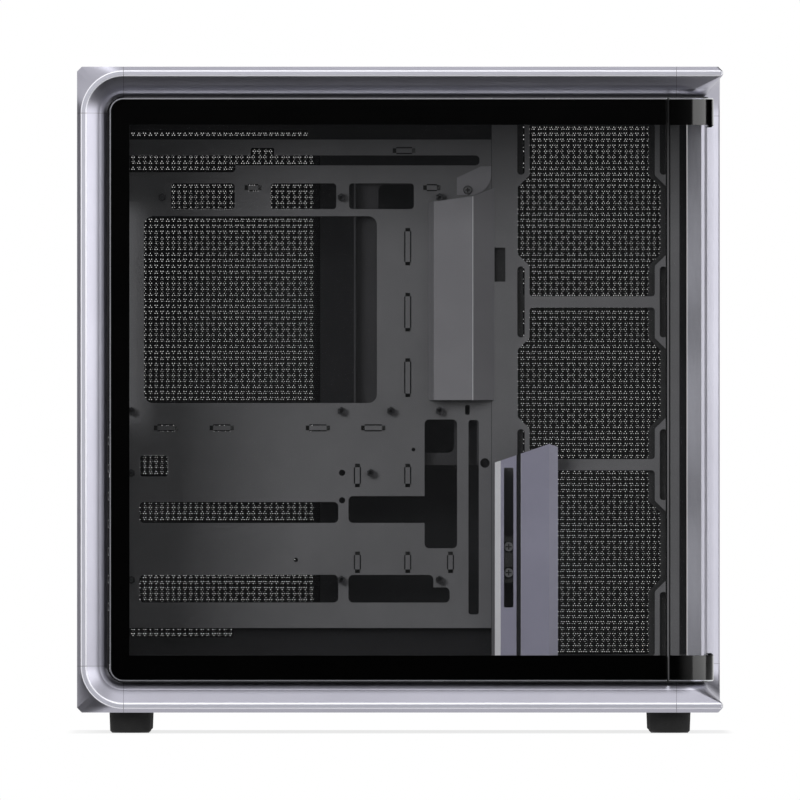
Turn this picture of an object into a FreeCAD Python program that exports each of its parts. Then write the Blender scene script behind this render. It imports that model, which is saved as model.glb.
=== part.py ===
import FreeCAD, Part
import math
import os

# A dual-chamber computer case: a bevelled aluminium frame, a flat side glass and a bent front glass.
# Millimetres. X runs from the rear (-) to the front (+), the glass side faces -Y and Z is up.
# The origin is on the floor, under the middle of the case.

# Board hole pattern, from the rear hole of the middle row
BOARD_MIDDLE_COLUMN = 154.94
BOARD_FRONT_COLUMN = 227.33
BOARD_TOP_REAR_COLUMN = 22.86
BOARD_TOP_ROW = 157.48
BOARD_BOTTOM_ROW = 124.46
BOARD_SMALL_ROW = 45.72
SPARE_MIDDLE_COLUMN = 191.4
SPARE_SMALL_COLUMN = 176.7

# Room round the board, which sets the overall size
REAR_RECESS = 26.0
BOARD_REAR_ROOM = 12.4
BOARD_FRONT_ROOM = 38.37
FAN_PANEL_WIDTH = 138.4
FRONT_ROOM = 30.5
MAIN_CHAMBER = 191.0
REAR_CHAMBER = 99.0
BOARD_FLOOR_ROOM = 74.4
BOARD_ROOF_ROOM = 72.86

# Sheet and fits
SEAT_GAP = 0.3
SHEET = 1.0
SHELL = 1.2

# Frame bar section: u runs inwards from the outline, v runs back from the rim plane
CORNER_SIZE = 34.0
BAR_DEPTH = 24.0
LIP_U = 21.9
LIP_V = 13.7
BAR_WALL = 2.2
EDGE_V = 3.4
BAR_FRONT = [(0.0, EDGE_V), (2.6, 0.8), (3.6, 0.0), (6.0, 0.0), (7.3, 0.9), (16.4, 9.4), (19.4, 11.4),
             (LIP_U, LIP_V)]
BAR_BACK = [(LIP_U - BAR_WALL, LIP_V + 1.2), (17.9, 13.2), (14.9, 11.1), (5.6, 2.6), (3.6, 2.6),
            (BAR_WALL, 4.2)]
CORNER_CHAMFER = 3.5
RIM_CORNER_RADIUS = 1.5
LIP_CORNER_RADII = [12.0, 16.0, 19.5]

# Glass
GLASS_THICKNESS = 4.0
GLASS_RECESS = 6.5
GLASS_LIP_GAP = 1.0
GLASS_END_GAP = 1.9
GLASS_CORNER_RADIUS = 10.0
GLASS_BEND_RADIUS = 27.0
GLASS_WING = 6.6
GLASS_SPLIT_GAP = 1.5
GLASS_CHAMFER = 0.8

# Tray
TRAY_BELOW_BOARD = 35.5
TRAY_ABOVE_BOARD = 42.7
TRAY_STEP = 10.0
SKIRT_WINDOW_TOP = 130.0
SKIRT_WINDOW_BOTTOM = 75.0
SKIRT_WINDOW_HEIGHT = 6.0
WINDOW_FLANGE = 18.0
STANDOFF_HEIGHT = 6.5
STANDOFF_FLATS = 5.5
STANDOFF_BORE = 1.5

# Tray cut-outs from the same board hole: rear, low, front, high and corner radius
TRAY_CUTS = {
    "cooler": (9.5, 5.9, 181.1, 143.7, 6.5),
    "top_rear": (29.3, 148.9, 76.3, 167.9, 2.5),
    "top_middle": (102.7, 148.9, 151.1, 167.9, 2.5),
    "top_front": (160.6, 148.9, 208.3, 167.9, 2.5),
    "top_slot": (-4.0, 181.1, 256.7, 188.5, 3.0),
    "top_slot_rear": (-4.0, 176.0, 76.9, 188.5, 3.0),
    "top_slot_bump": (88.0, 184.0, 105.4, 194.1, 1.5),
    "small_square": (6.5, -48.3, 26.9, -32.8, 2.0),
    "long_upper": (5.9, -82.5, 152.6, -67.0, 3.5),
    "long_lower": (5.9, -141.2, 152.6, -120.7, 3.5),
    "tee_upright": (216.2, -101.2, 240.2, -6.2, 3.5),
    "tee_level": (160.1, -82.5, 222.0, -62.7, 3.5),
    "lower_front": (160.1, -141.2, 222.7, -120.8, 3.5),
    "lower_front_step": (200.0, -141.2, 234.7, -130.0, 3.5),
}
TRAY_HOLES = [(155.4, -45.5, 2.3), (155.4, -65.8, 2.3), (208.0, -28.4, 1.4), (121.3, -109.7, 1.6)]
# Slots along the tray's front edge, measured back from that edge
EDGE_CUTS = {"edge_slot": (-17.1, -150.0, -9.5, -6.6, 2.0), "edge_notch": (-19.6, -2.7, -16.2, 4.4, 1.0)}
EDGE_HOLE = (-5.0, -38.3, 3.5)

# Cable tie hooks, bridges pressed out of windows in the tray: place of the middle and length
HOOK_WIDTH = 5.2
HOOK_RISE = 1.8
HOOK_FOOT = 2.6
HOOK_SLIT = 0.9
LEVEL_HOOKS = [(25.6, -12.4, 17.9), (66.7, -12.4, 17.9), (137.6, -12.4, 17.9), (178.4, -12.4, 17.9),
               (89.8, 164.7, 12.7), (221.6, 164.7, 12.7), (201.2, 192.0, 16.9)]
UPRIGHT_HOOKS = [(203.8, 121.2, 27.6), (203.8, 72.9, 28.5), (203.8, 24.6, 28.6), (166.7, -47.5, 17.3),
                 (203.8, -47.5, 17.3), (166.7, -111.5, 15.8), (203.8, -111.5, 15.8), (235.3, -111.5, 15.8)]

# Fan panel
FAN_SHIFT = 4.9
FAN_PITCH = 120.0
FAN_RISE = 4.7
FAN_BAR = 8.2
FAN_HALF_NARROW = 46.2
FAN_HALF_WIDE = 54.9
FAN_WIDE_TO = 24.9
FAN_NARROW_FROM = 33.4
FAN_END_MARGIN = 17.3
FAN_HOLE_SPACING = 105.0
FAN_SLOT_WIDTH = 5.4
FAN_SLOT_END_GAP = 0.4
FAN_CORNER_RADIUS = 2.5
PANEL_NOTCH = (2.1, 95.4, 10.1, 120.5)
FILTER_FRAME_SHIFT = -4.7
FILTER_FRAME_SETBACK = 4.0
FILTER_FRAME_WALL = 2.0

# Cable cover, a hat section beside the tray's front edge
COVER_LAP = 2.0
COVER_FRONT_SLOPE = 15.8
COVER_FACE = 28.9
COVER_REAR_SLOPE = 3.7
COVER_DEPTH = 18.0
COVER_BEND = 1.1
COVER_ABOVE_BOARD_HOLE = 8.1
COVER_REAR_HEIGHT = 145.6
COVER_EDGE_HEIGHT = 150.3
COVER_FRONT_HEIGHT = 156.9

# Bracket above the cover
BRACKET_LENGTH = 25.4
BRACKET_ABOVE_COVER = 0.98
BRACKET_REAR_HEIGHT = 12.6
BRACKET_HEIGHT = 21.1
BRACKET_FRONT_HEIGHT = 7.5
BRACKET_FLAT = 7.5
BRACKET_FOOT = 12.7
BRACKET_BULGE = 3.0
BRACKET_SCREW_INSET = 8.0
BRACKET_SCREW_RISE = 3.6

# Graphics card holder, widths in order from the rear
HOLDER_START = 2.3
HOLDER_REAR_BEVEL = 4.3
HOLDER_SLOT_FACE = 11.7
HOLDER_GROOVE = 3.0
HOLDER_MAIN_FACE = 21.0
HOLDER_FRONT_BEVEL = 6.4
HOLDER_DEPTH = 30.0
HOLDER_BEVEL_DEPTH = 6.0
HOLDER_WALL = 2.6
HOLDER_GROOVE_DEPTH = 1.9
HOLDER_EDGE_ROUND = 0.5
HOLDER_REAR_HEIGHT = 159.6
HOLDER_EDGE_HEIGHT = 173.6
HOLDER_FRONT_HEIGHT = 171.2
HOLDER_SLOT_WIDTH = 7.0
HOLDER_SLOT_LOW = 53.2
HOLDER_SLOT_LENGTH = 102.9
ARM_LOW_SCREW = 78.8
ARM_SCREW_PITCH = 19.1
ARM_SCREW_RADIUS = 3.9
ARM_END = 7.6
ARM_RECESS = 1.4
ARM_PLATE = 2.0
ARM_PLATE_LAP = 1.5
ARM_CORNER_RADIUS = 1.0

# Power button and ports in the top panel, in a row measured back from the button
PORT_ROW_INSET = 17.0
BUTTON_INSET = 22.0
BUTTON_RADIUS = 6.8
BUTTON_HEIGHT = 6.0
BUTTON_TRAVEL = 1.2
BUTTON_CHAMFER = 0.6
PORTS = [("usb_c", 22.0, 9.2, 3.4), ("usb_a", 46.0, 13.4, 5.8), ("usb_a", 70.0, 13.4, 5.8),
         ("audio", 90.0, 6.0, 6.0)]
PORT_BLOCK_END = 12.0
PORT_BLOCK_HALF = 9.5
PORT_BLOCK_DEPTH = 15.0
PORT_BLOCK_RADIUS = 3.0
JACK_BORE = 1.75
USB_A_CORNER = 0.6
TONGUE_SHARE = (0.72, 0.32)

# Feet, studs and screws
FOOT_HEIGHT = 15.0
FOOT_INSET_X = 39.0
FOOT_INSET_Y = 33.0
FOOT_RADIUS = 15.5
FOOT_TAPER = 0.5
FOOT_CHAMFER = 1.5
STUD_RADIUS = 4.0
STUD_LENGTH = 8.0
STUD_INSET = 22.0
SOCKET_WALL = 2.0
SCREW_HEAD_RADIUS = 3.2
SCREW_HEAD_HEIGHT = 2.0
CROSS_SHARE = 0.55
CROSS_WIDTH = 0.9
CROSS_DEPTH = 1.1

# Grilles and vents
GRILLE_PITCH = 30.0
GRILLE_WEB = 6.6
TOP_GRILLE = (380.0, 145.0)
BOTTOM_GRILLE = (340.0, 120.0)
SIDE_GRILLE_HEIGHT = 395.0
SIDE_GRILLE_REAR = (11.5, 162.0)
SIDE_GRILLE_FRONT = (17.5, 115.0)
REAR_VENT_PITCH = 20.0
REAR_VENT_WEB = 4.0
VENT_SLOT = 10.0
VENT_PITCH = 16.0
VENT_LENGTH = 108.0
VENT_COUNT = 6

# Bottom filter
FILTER_HALF_WIDTH = 95.0
FILTER_HEIGHT = 2.4
FILTER_FRONT_INSET = 46.5
FILTER_RIB = 6.0
FILTER_PULL = 24.0
FILTER_CELLS = (8, 4)

# Rear panel: openings measured from the tray face and the board hole
IO_FROM_TRAY = (-51.5, -7.0)
IO_FROM_BOARD_HOLE = (-1.8, 157.0)
SLOT_COUNT = 7
SLOT_PITCH = 20.32
SLOT_BELOW_BOARD_HOLE = 21.8
SLOT_HEIGHT = 14.0
SLOT_FROM_TRAY = (-112.0, -16.0)
SLOT_COVER_LAP = 2.5
SLOT_TAB = 12.0
REAR_FAN_FROM_TRAY = 112.0
REAR_FAN_ABOVE_BOARD_HOLE = 104.2
REAR_FAN_SPACING = 105.0
REAR_FAN_HOLE = 2.2
SUPPLY_CLEAR = 3.0
SUPPLY_EDGE = 6.5
SUPPLY_ABOVE_FLOOR = 10.0
SUPPLY_HEIGHT = 140.0
SUPPLY_FRAME_LAP = 5.0
SUPPLY_FRAME_RIM = 2.0
SUPPLY_SCREW_INSET = 3.4

# Drive bracket behind the tray
DRIVE_BRACKET_FRONT = 9.6
DRIVE_BRACKET_WIDTH = 92.0
DRIVE_BRACKET_BELOW = 39.8
DRIVE_BRACKET_HEIGHT = 216.0
DRIVE_BRACKET_DEPTH = 16.0
DRIVE_WINDOW_EDGE = 18.0
DRIVE_WINDOW_RADIUS = 5.0
DRIVE_WINDOW_COUNT = 3

CASE_LENGTH = (REAR_RECESS + BOARD_REAR_ROOM + BOARD_FRONT_COLUMN + BOARD_FRONT_ROOM + FAN_PANEL_WIDTH
               + FRONT_ROOM)
CASE_WIDTH = MAIN_CHAMBER + REAR_CHAMBER
CASE_HEIGHT = FOOT_HEIGHT + 2 * LIP_U + BOARD_FLOOR_ROOM + BOARD_BOTTOM_ROW + BOARD_TOP_ROW + BOARD_ROOF_ROOM
REAR_X = -CASE_LENGTH / 2
FRONT_X = CASE_LENGTH / 2
SIDE_Y = -CASE_WIDTH / 2
FAR_Y = CASE_WIDTH / 2
FRAME_LOW = FOOT_HEIGHT
FRAME_TOP = CASE_HEIGHT
FLOOR_Z = FRAME_LOW + LIP_U
ROOF_Z = FRAME_TOP - LIP_U
FLOOR_TOP = FLOOR_Z + SHEET
ROOF_UNDER = ROOF_Z - SHEET
REAR_PANEL_X = REAR_X + REAR_RECESS
BOARD_X = REAR_PANEL_X + BOARD_REAR_ROOM
BOARD_Z = FLOOR_Z + BOARD_FLOOR_ROOM + BOARD_BOTTOM_ROW
TRAY_Y = SIDE_Y + MAIN_CHAMBER
TRAY_FRONT_X = BOARD_X + BOARD_FRONT_COLUMN + BOARD_FRONT_ROOM
TRAY_LOW = BOARD_Z - BOARD_BOTTOM_ROW - TRAY_BELOW_BOARD
TRAY_TOP = BOARD_Z + BOARD_TOP_ROW + TRAY_ABOVE_BOARD
SKIRT_Y = TRAY_Y + TRAY_STEP
FAN_PANEL_X = TRAY_FRONT_X + FAN_PANEL_WIDTH
FAN_X = (TRAY_FRONT_X + FAN_PANEL_X) / 2 + FAN_SHIFT
FAN_SLOT_LENGTH = FAN_PITCH - 2 * (FAN_NARROW_FROM + FAN_SLOT_END_GAP)
FAN_Z = (FLOOR_Z + ROOF_Z) / 2 + FAN_RISE
SIDE_GLASS_Y = SIDE_Y + GLASS_RECESS
FRONT_GLASS_X = FRONT_X - GLASS_RECESS
GLASS_LOW = FLOOR_Z + GLASS_LIP_GAP
GLASS_HIGH = ROOF_Z - GLASS_LIP_GAP
GLASS_REAR = REAR_X + LIP_U + GLASS_END_GAP
GLASS_FAR = FAR_Y - LIP_U - GLASS_END_GAP
BEND_X = FRONT_GLASS_X - GLASS_BEND_RADIUS
BEND_Y = SIDE_GLASS_Y + GLASS_BEND_RADIUS
GLASS_SPLIT_X = BEND_X - GLASS_WING
SIDE_SEAT_Y = SIDE_GLASS_Y + GLASS_THICKNESS + SEAT_GAP
FRONT_SEAT_X = FRONT_GLASS_X - GLASS_THICKNESS - SEAT_GAP
SHELL_SIDE_Y = SIDE_Y + BAR_DEPTH + SEAT_GAP
SHELL_REAR_X = REAR_X + CORNER_CHAMFER
SHELL_FRONT_X = FRONT_X - BAR_DEPTH - SEAT_GAP
PANEL_Y = FAR_Y - SHELL
FAR_SEAT_Y = PANEL_Y - SEAT_GAP
CORNER_REAR_X = REAR_X + CORNER_SIZE
CORNER_FRONT_X = FRONT_X - CORNER_SIZE
CORNER_SIDE_Y = SIDE_Y + CORNER_SIZE
CORNER_FAR_Y = FAR_Y - CORNER_SIZE
CORNER_LOW = FRAME_LOW + CORNER_SIZE
CORNER_HIGH = FRAME_TOP - CORNER_SIZE
PORT_Y = FAR_Y - PORT_ROW_INSET
BUTTON_X = SHELL_FRONT_X - BUTTON_INSET
PORT_FLOOR = FRAME_TOP - BUTTON_HEIGHT - 2 * BUTTON_TRAVEL
HOLDER_Y = TRAY_Y - HOLDER_DEPTH
HOLDER_X = TRAY_FRONT_X + HOLDER_START
THROUGH = 1.0
HALF_TURN = math.sqrt(0.5)


def V(x, y, z):
    return FreeCAD.Vector(x, y, z)


PLANES = {"xy": lambda a, b, c: V(a, b, c),
          "xz": lambda a, b, c: V(a, c, b),
          "yz": lambda a, b, c: V(c, a, b)}


def block(x0, y0, z0, x1, y1, z1):
    return Part.makeBox(x1 - x0, y1 - y0, z1 - z0, V(x0, y0, z0))


def outline_face(corners):
    return Part.Face(Part.makePolygon(corners + corners[:1]))


def prism(plane, points, c0, c1):
    """A straight-sided outline in a plane, carried along the plane's normal from c0 to c1."""
    at = PLANES[plane]
    return outline_face([at(a, b, c0) for a, b in points]).extrude(at(0, 0, c1 - c0))


def rounded(plane, a0, b0, a1, b1, radius, c0, c1):
    """A rectangle with round corners, carried along the plane's normal from c0 to c1."""
    at = PLANES[plane]
    radius = min(radius, 0.49 * (a1 - a0), 0.49 * (b1 - b0))
    inset = radius * (1 - HALF_TURN)
    stops = [((a1 - radius, b0), (a1 - inset, b0 + inset), (a1, b0 + radius)),
             ((a1, b1 - radius), (a1 - inset, b1 - inset), (a1 - radius, b1)),
             ((a0 + radius, b1), (a0 + inset, b1 - inset), (a0, b1 - radius)),
             ((a0, b0 + radius), (a0 + inset, b0 + inset), (a0 + radius, b0))]
    edges = []
    for number, arc in enumerate(stops):
        start, middle, end = [at(a, b, c0) for a, b in arc]
        following = at(*stops[(number + 1) % len(stops)][0], c0)
        edges.append(Part.Arc(start, middle, end).toShape())
        edges.append(Part.makeLine(end, following))
    return Part.Face(Part.Wire(edges)).extrude(at(0, 0, c1 - c0))


def disc(plane, a, b, radius, c0, c1):
    at = PLANES[plane]
    return Part.makeCylinder(radius, c1 - c0, at(a, b, c0), at(0, 0, 1))


def hexagon(plane, a, b, radius, c0, c1):
    turns = [math.radians(60 * number + 30) for number in range(6)]
    corners = [(a + radius * math.cos(turn), b + radius * math.sin(turn)) for turn in turns]
    return prism(plane, corners, c0, c1)


def joined(shapes):
    return shapes[0].fuse(shapes[1:]).removeSplitter()


def hex_centres(a_range, b_range, pitch):
    """Centres of a staggered pattern that fills a rectangle, in its middle."""
    row_step = pitch * math.sqrt(0.75)
    columns = int((a_range[1] - a_range[0] - pitch / 2) // pitch)
    rows = int((b_range[1] - b_range[0]) // row_step)
    a_start = (a_range[0] + a_range[1] - (columns - 0.5) * pitch) / 2
    b_start = (b_range[0] + b_range[1] - (rows - 1) * row_step) / 2
    return [(a_start + (column + row % 2 / 2) * pitch, b_start + row * row_step)
            for row in range(rows) for column in range(columns)]


def grille(plane, a_range, b_range, c0, c1):
    """Hexagon holes through a sheet that lies between c0 and c1."""
    radius = (GRILLE_PITCH - GRILLE_WEB) / math.sqrt(3)
    return [hexagon(plane, a, b, radius, c0 - THROUGH, c1 + THROUGH)
            for a, b in hex_centres(a_range, b_range, GRILLE_PITCH)]


def end_rim(shape, point):
    """The round edge of a shape that is centred on a point."""
    return [edge for edge in shape.Edges if edge.Closed and (edge.BoundBox.Center - point).Length < 0.05]


def screw_head(plane, a, b, c, outwards, radius=SCREW_HEAD_RADIUS):
    """A low screw head with a chamfered rim and a cross recess, its underside at c."""
    at = PLANES[plane]
    direction = at(0, 0, outwards)
    head = Part.makeCylinder(radius, SCREW_HEAD_HEIGHT, at(a, b, c), direction)
    top = c + outwards * SCREW_HEAD_HEIGHT
    head = head.makeChamfer(SCREW_HEAD_HEIGHT / 3, end_rim(head, at(a, b, top)))
    floor = top - outwards * CROSS_DEPTH
    arm, half = CROSS_SHARE * radius, CROSS_WIDTH / 2
    recesses = [[(a - p, b - q), (a + p, b - q), (a + p, b + q), (a - p, b + q)]
                for p, q in ((arm, half), (half, arm))]
    return head.cut([prism(plane, corners, floor, top + outwards * THROUGH) for corners in recesses])


# Frame

def bar(at, t0, t1):
    """One straight bar: the open section carried from t0 to t1, where at(u, v, t) places a point."""
    back = [(LIP_U, BAR_DEPTH), (LIP_U - BAR_WALL, BAR_DEPTH)] + BAR_BACK
    back += [(BAR_WALL, BAR_DEPTH), (0.0, BAR_DEPTH)]
    face = outline_face([at(u, v, t0) for u, v in BAR_FRONT + back])
    return face.extrude(at(0, 0, t1) - at(0, 0, t0))


def round_corner(at):
    """A cast corner: the bar's front turned through a quarter circle, with a sloped spandrel outside it.

    at(p, q, v) places a point p and q out from the arc's centre and v behind the rim plane.
    """
    centre = at(0, 0, 0)
    axis = (at(1, 0, 0) - centre).cross(at(0, 1, 0) - centre)
    ridge_u, ridge_v = BAR_FRONT[1]
    ridge = CORNER_SIZE - ridge_u
    ring = [(CORNER_SIZE - u, v) for u, v in BAR_FRONT[1:]]
    ring += [(CORNER_SIZE - LIP_U, BAR_DEPTH), (ridge, BAR_DEPTH)]
    turned = outline_face([at(p, 0, v) for p, v in ring]).revolve(centre, axis, 90)

    flat = CORNER_SIZE - CORNER_CHAMFER
    square = [(CORNER_SIZE, 0), (CORNER_SIZE, flat), (flat, CORNER_SIZE), (0, CORNER_SIZE), (0, 0)]
    first_stop = math.atan2(flat, CORNER_SIZE)
    stops = [0.0, first_stop, math.pi / 2 - first_stop, math.pi / 2]

    def on_ridge(turn):
        return at(ridge * math.cos(turn), ridge * math.sin(turn), ridge_v)

    upper = [Part.Arc(on_ridge(a), on_ridge((a + b) / 2), on_ridge(b)).toShape()
             for a, b in zip(stops, stops[1:])]
    upper.append(Part.makeLine(on_ridge(stops[-1]), at(0, 0, ridge_v)))
    upper.append(Part.makeLine(at(0, 0, ridge_v), on_ridge(0.0)))
    lower = [at(p, q, EDGE_V) for p, q in square]
    slope = Part.makeLoft([Part.Wire(upper), Part.makePolygon(lower + lower[:1])], True, True)
    body = outline_face(lower).extrude(at(0, 0, BAR_DEPTH) - at(0, 0, EDGE_V))
    depth = BAR_DEPTH + 2 * THROUGH
    core = Part.makeCylinder(ridge - SEAT_GAP, depth, at(0, 0, -THROUGH), at(0, 0, 1) - centre)
    return joined([turned, slope.fuse(body).cut(core)])


def front_corner(z_at):
    """The corner where the side and front bars meet: sharp at the rim, round at the lip."""
    rim_count = len(BAR_FRONT) - len(LIP_CORNER_RADII)
    radii = [RIM_CORNER_RADIUS] * rim_count + LIP_CORNER_RADII
    sections = []
    for (u, v), radius in zip(BAR_FRONT, radii):
        x, y, z = FRONT_X - v, SIDE_Y + v, z_at(u)
        inset = radius * (1 - HALF_TURN)
        start, end = V(x - radius, y, z), V(x, y + radius, z)
        inner = V(CORNER_FRONT_X, CORNER_SIDE_Y, z)
        sections.append(Part.Wire([
            Part.makeLine(V(CORNER_FRONT_X, y, z), start),
            Part.Arc(start, V(x - inset, y + inset, z), end).toShape(),
            Part.makeLine(end, V(x, CORNER_SIDE_Y, z)),
            Part.makeLine(V(x, CORNER_SIDE_Y, z), inner),
            Part.makeLine(inner, V(CORNER_FRONT_X, y, z))]))
    room = block(CORNER_FRONT_X, SIDE_Y + BAR_DEPTH, FRAME_LOW, FRONT_X - BAR_DEPTH, CORNER_SIDE_Y, FRAME_TOP)
    return Part.makeLoft(sections, True, True).cut(room)


def frame_nodes():
    def side_top(u, v, t):
        return V(t, SIDE_Y + v, FRAME_TOP - u)

    def side_bottom(u, v, t):
        return V(t, SIDE_Y + v, FRAME_LOW + u)

    def side_rear(u, v, t):
        return V(REAR_X + u, SIDE_Y + v, t)

    def front_top(u, v, t):
        return V(FRONT_X - v, t, FRAME_TOP - u)

    def front_bottom(u, v, t):
        return V(FRONT_X - v, t, FRAME_LOW + u)

    def front_far(u, v, t):
        return V(FRONT_X - v, FAR_Y - u, t)

    def rear_high(p, q, v):
        return V(CORNER_REAR_X - p, SIDE_Y + v, CORNER_HIGH + q)

    def rear_low(p, q, v):
        return V(CORNER_REAR_X - p, SIDE_Y + v, CORNER_LOW - q)

    def far_high(p, q, v):
        return V(FRONT_X - v, CORNER_FAR_Y + p, CORNER_HIGH + q)

    def far_low(p, q, v):
        return V(FRONT_X - v, CORNER_FAR_Y + p, CORNER_LOW - q)

    return {
        "frame_top_side_rail": bar(side_top, CORNER_REAR_X, CORNER_FRONT_X),
        "frame_bottom_side_rail": bar(side_bottom, CORNER_REAR_X, CORNER_FRONT_X),
        "frame_rear_post": bar(side_rear, CORNER_LOW, CORNER_HIGH),
        "frame_top_front_rail": bar(front_top, CORNER_SIDE_Y, CORNER_FAR_Y),
        "frame_bottom_front_rail": bar(front_bottom, CORNER_SIDE_Y, CORNER_FAR_Y),
        "frame_front_post": bar(front_far, CORNER_LOW, CORNER_HIGH),
        "frame_corner_rear_top": round_corner(rear_high),
        "frame_corner_rear_bottom": round_corner(rear_low),
        "frame_corner_far_top": round_corner(far_high),
        "frame_corner_far_bottom": round_corner(far_low),
        "frame_corner_front_top": front_corner(lambda u: FRAME_TOP - u),
        "frame_corner_front_bottom": front_corner(lambda u: FRAME_LOW + u),
    }


# Glass and panel studs

def side_glass():
    """A flat pane with round rear corners and a straight front edge."""
    front = GLASS_SPLIT_X - GLASS_SPLIT_GAP / 2
    back = SIDE_GLASS_Y + GLASS_THICKNESS
    pane = rounded("xz", GLASS_REAR, GLASS_LOW, front, GLASS_HIGH, GLASS_CORNER_RADIUS, SIDE_GLASS_Y, back)
    square_end = block(front - 2 * GLASS_CORNER_RADIUS, SIDE_GLASS_Y, GLASS_LOW, front, back, GLASS_HIGH)
    sheet = joined([pane, square_end])
    rim = [edge for edge in sheet.Edges if edge.BoundBox.YMax < SIDE_GLASS_Y + GLASS_CHAMFER]
    return sheet.makeChamfer(GLASS_CHAMFER, rim)


def front_glass():
    """A pane bent round the near corner: a short side wing, a quarter bend and the front."""
    wing = GLASS_SPLIT_X + GLASS_SPLIT_GAP / 2
    inner = GLASS_BEND_RADIUS - GLASS_THICKNESS

    def point(x, y):
        return V(x, y, GLASS_LOW)

    def bend(radius):
        middle = point(BEND_X + radius * HALF_TURN, BEND_Y - radius * HALF_TURN)
        return Part.Arc(point(BEND_X, BEND_Y - radius), middle, point(BEND_X + radius, BEND_Y)).toShape()

    def on_rim(edge):
        middle = edge.valueAt((edge.FirstParameter + edge.LastParameter) / 2)
        x, y = middle.x - BEND_X, middle.y - BEND_Y
        outside = math.hypot(max(x, 0), min(y, 0)) > GLASS_BEND_RADIUS - GLASS_CHAMFER
        seam = edge.BoundBox.ZLength > GLASS_HIGH / 2 and min(abs(x), abs(y)) < THROUGH
        return outside and not seam

    outside = [point(BEND_X + GLASS_BEND_RADIUS, BEND_Y), point(FRONT_GLASS_X, GLASS_FAR),
               point(FRONT_GLASS_X - GLASS_THICKNESS, GLASS_FAR), point(BEND_X + inner, BEND_Y)]
    inside = [point(BEND_X, BEND_Y - inner), point(wing, BEND_Y - inner), point(wing, SIDE_GLASS_Y),
              point(BEND_X, SIDE_GLASS_Y)]
    edges = [Part.makeLine(a, b) for run in (outside, inside) for a, b in zip(run, run[1:])]
    wire = Part.Wire(Part.__sortEdges__(edges + [bend(GLASS_BEND_RADIUS), bend(inner)]))
    pane = Part.Face(wire).extrude(V(0, 0, GLASS_HIGH - GLASS_LOW))
    far_end = rounded("yz", BEND_Y, GLASS_LOW, GLASS_FAR, GLASS_HIGH, GLASS_CORNER_RADIUS,
                      FRONT_GLASS_X - GLASS_THICKNESS, FRONT_GLASS_X)
    near_end = block(wing, SIDE_GLASS_Y, GLASS_LOW, FRONT_GLASS_X,
                     BEND_Y + 2 * GLASS_CORNER_RADIUS, GLASS_HIGH)
    sheet = pane.common(joined([far_end, near_end])).removeSplitter()
    return sheet.makeChamfer(GLASS_CHAMFER, [edge for edge in sheet.Edges if on_rim(edge)])


def stud_places(panel):
    """Centre and direction of each stud, from the panel's inner face into the chassis."""
    heights = (FLOOR_TOP + WINDOW_FLANGE / 2, ROOF_UNDER - WINDOW_FLANGE / 2)
    if panel == "side":
        start = SIDE_GLASS_Y + GLASS_THICKNESS
        columns = (GLASS_REAR + STUD_INSET, GLASS_SPLIT_X - STUD_INSET)
        return [(V(x, start, z), V(0, 1, 0)) for x in columns for z in heights]
    if panel == "front":
        start = FRONT_GLASS_X - GLASS_THICKNESS
        columns = (BEND_Y + STUD_INSET, CORNER_FAR_Y - STUD_INSET)
        return [(V(start, y, z), V(-1, 0, 0)) for y in columns for z in heights]
    columns = (CORNER_REAR_X + STUD_INSET, SHELL_FRONT_X - STUD_INSET)
    return [(V(x, PANEL_Y, z), V(0, -1, 0)) for x in columns for z in heights]


def all_stud_places():
    return [place for panel in ("side", "front", "far") for place in stud_places(panel)]


def studs(panel):
    shapes = []
    for centre, direction in stud_places(panel):
        stud = Part.makeCylinder(STUD_RADIUS, STUD_LENGTH, centre, direction)
        shapes.append(stud.makeChamfer(STUD_RADIUS / 3, end_rim(stud, centre + direction * STUD_LENGTH)))
    return Part.Compound(shapes)


def stud_holes():
    return [Part.makeCylinder(STUD_RADIUS + SEAT_GAP, SEAT_GAP + SHEET + THROUGH, centre, direction)
            for centre, direction in all_stud_places()]


def stud_sockets():
    """A ring behind each flange, round the stud."""
    bore = STUD_RADIUS + SEAT_GAP
    length = STUD_LENGTH - SEAT_GAP - SHEET
    shapes = []
    for centre, direction in all_stud_places():
        seat = centre + direction * (SEAT_GAP + SHEET)
        ring = Part.makeCylinder(bore + SOCKET_WALL, length, seat, direction)
        shapes.append(ring.cut(Part.makeCylinder(bore, length, seat, direction)))
    return Part.Compound(shapes)


# Floor, roof and outer covers

def deck_vents(z0):
    """Three bays of long slots under or over the main chamber."""
    middle = (SIDE_SEAT_Y + TRAY_Y) / 2
    slots = []
    for bay in (-1, 0, 1):
        for number in range(VENT_COUNT):
            x = bay * (VENT_LENGTH + VENT_PITCH) + (number - (VENT_COUNT - 1) / 2) * VENT_PITCH
            slots.append(rounded("xy", x - VENT_SLOT / 2, middle - VENT_LENGTH / 2, x + VENT_SLOT / 2,
                                 middle + VENT_LENGTH / 2, VENT_SLOT / 2, z0 - THROUGH, z0 + SHEET + THROUGH))
    return slots


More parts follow.
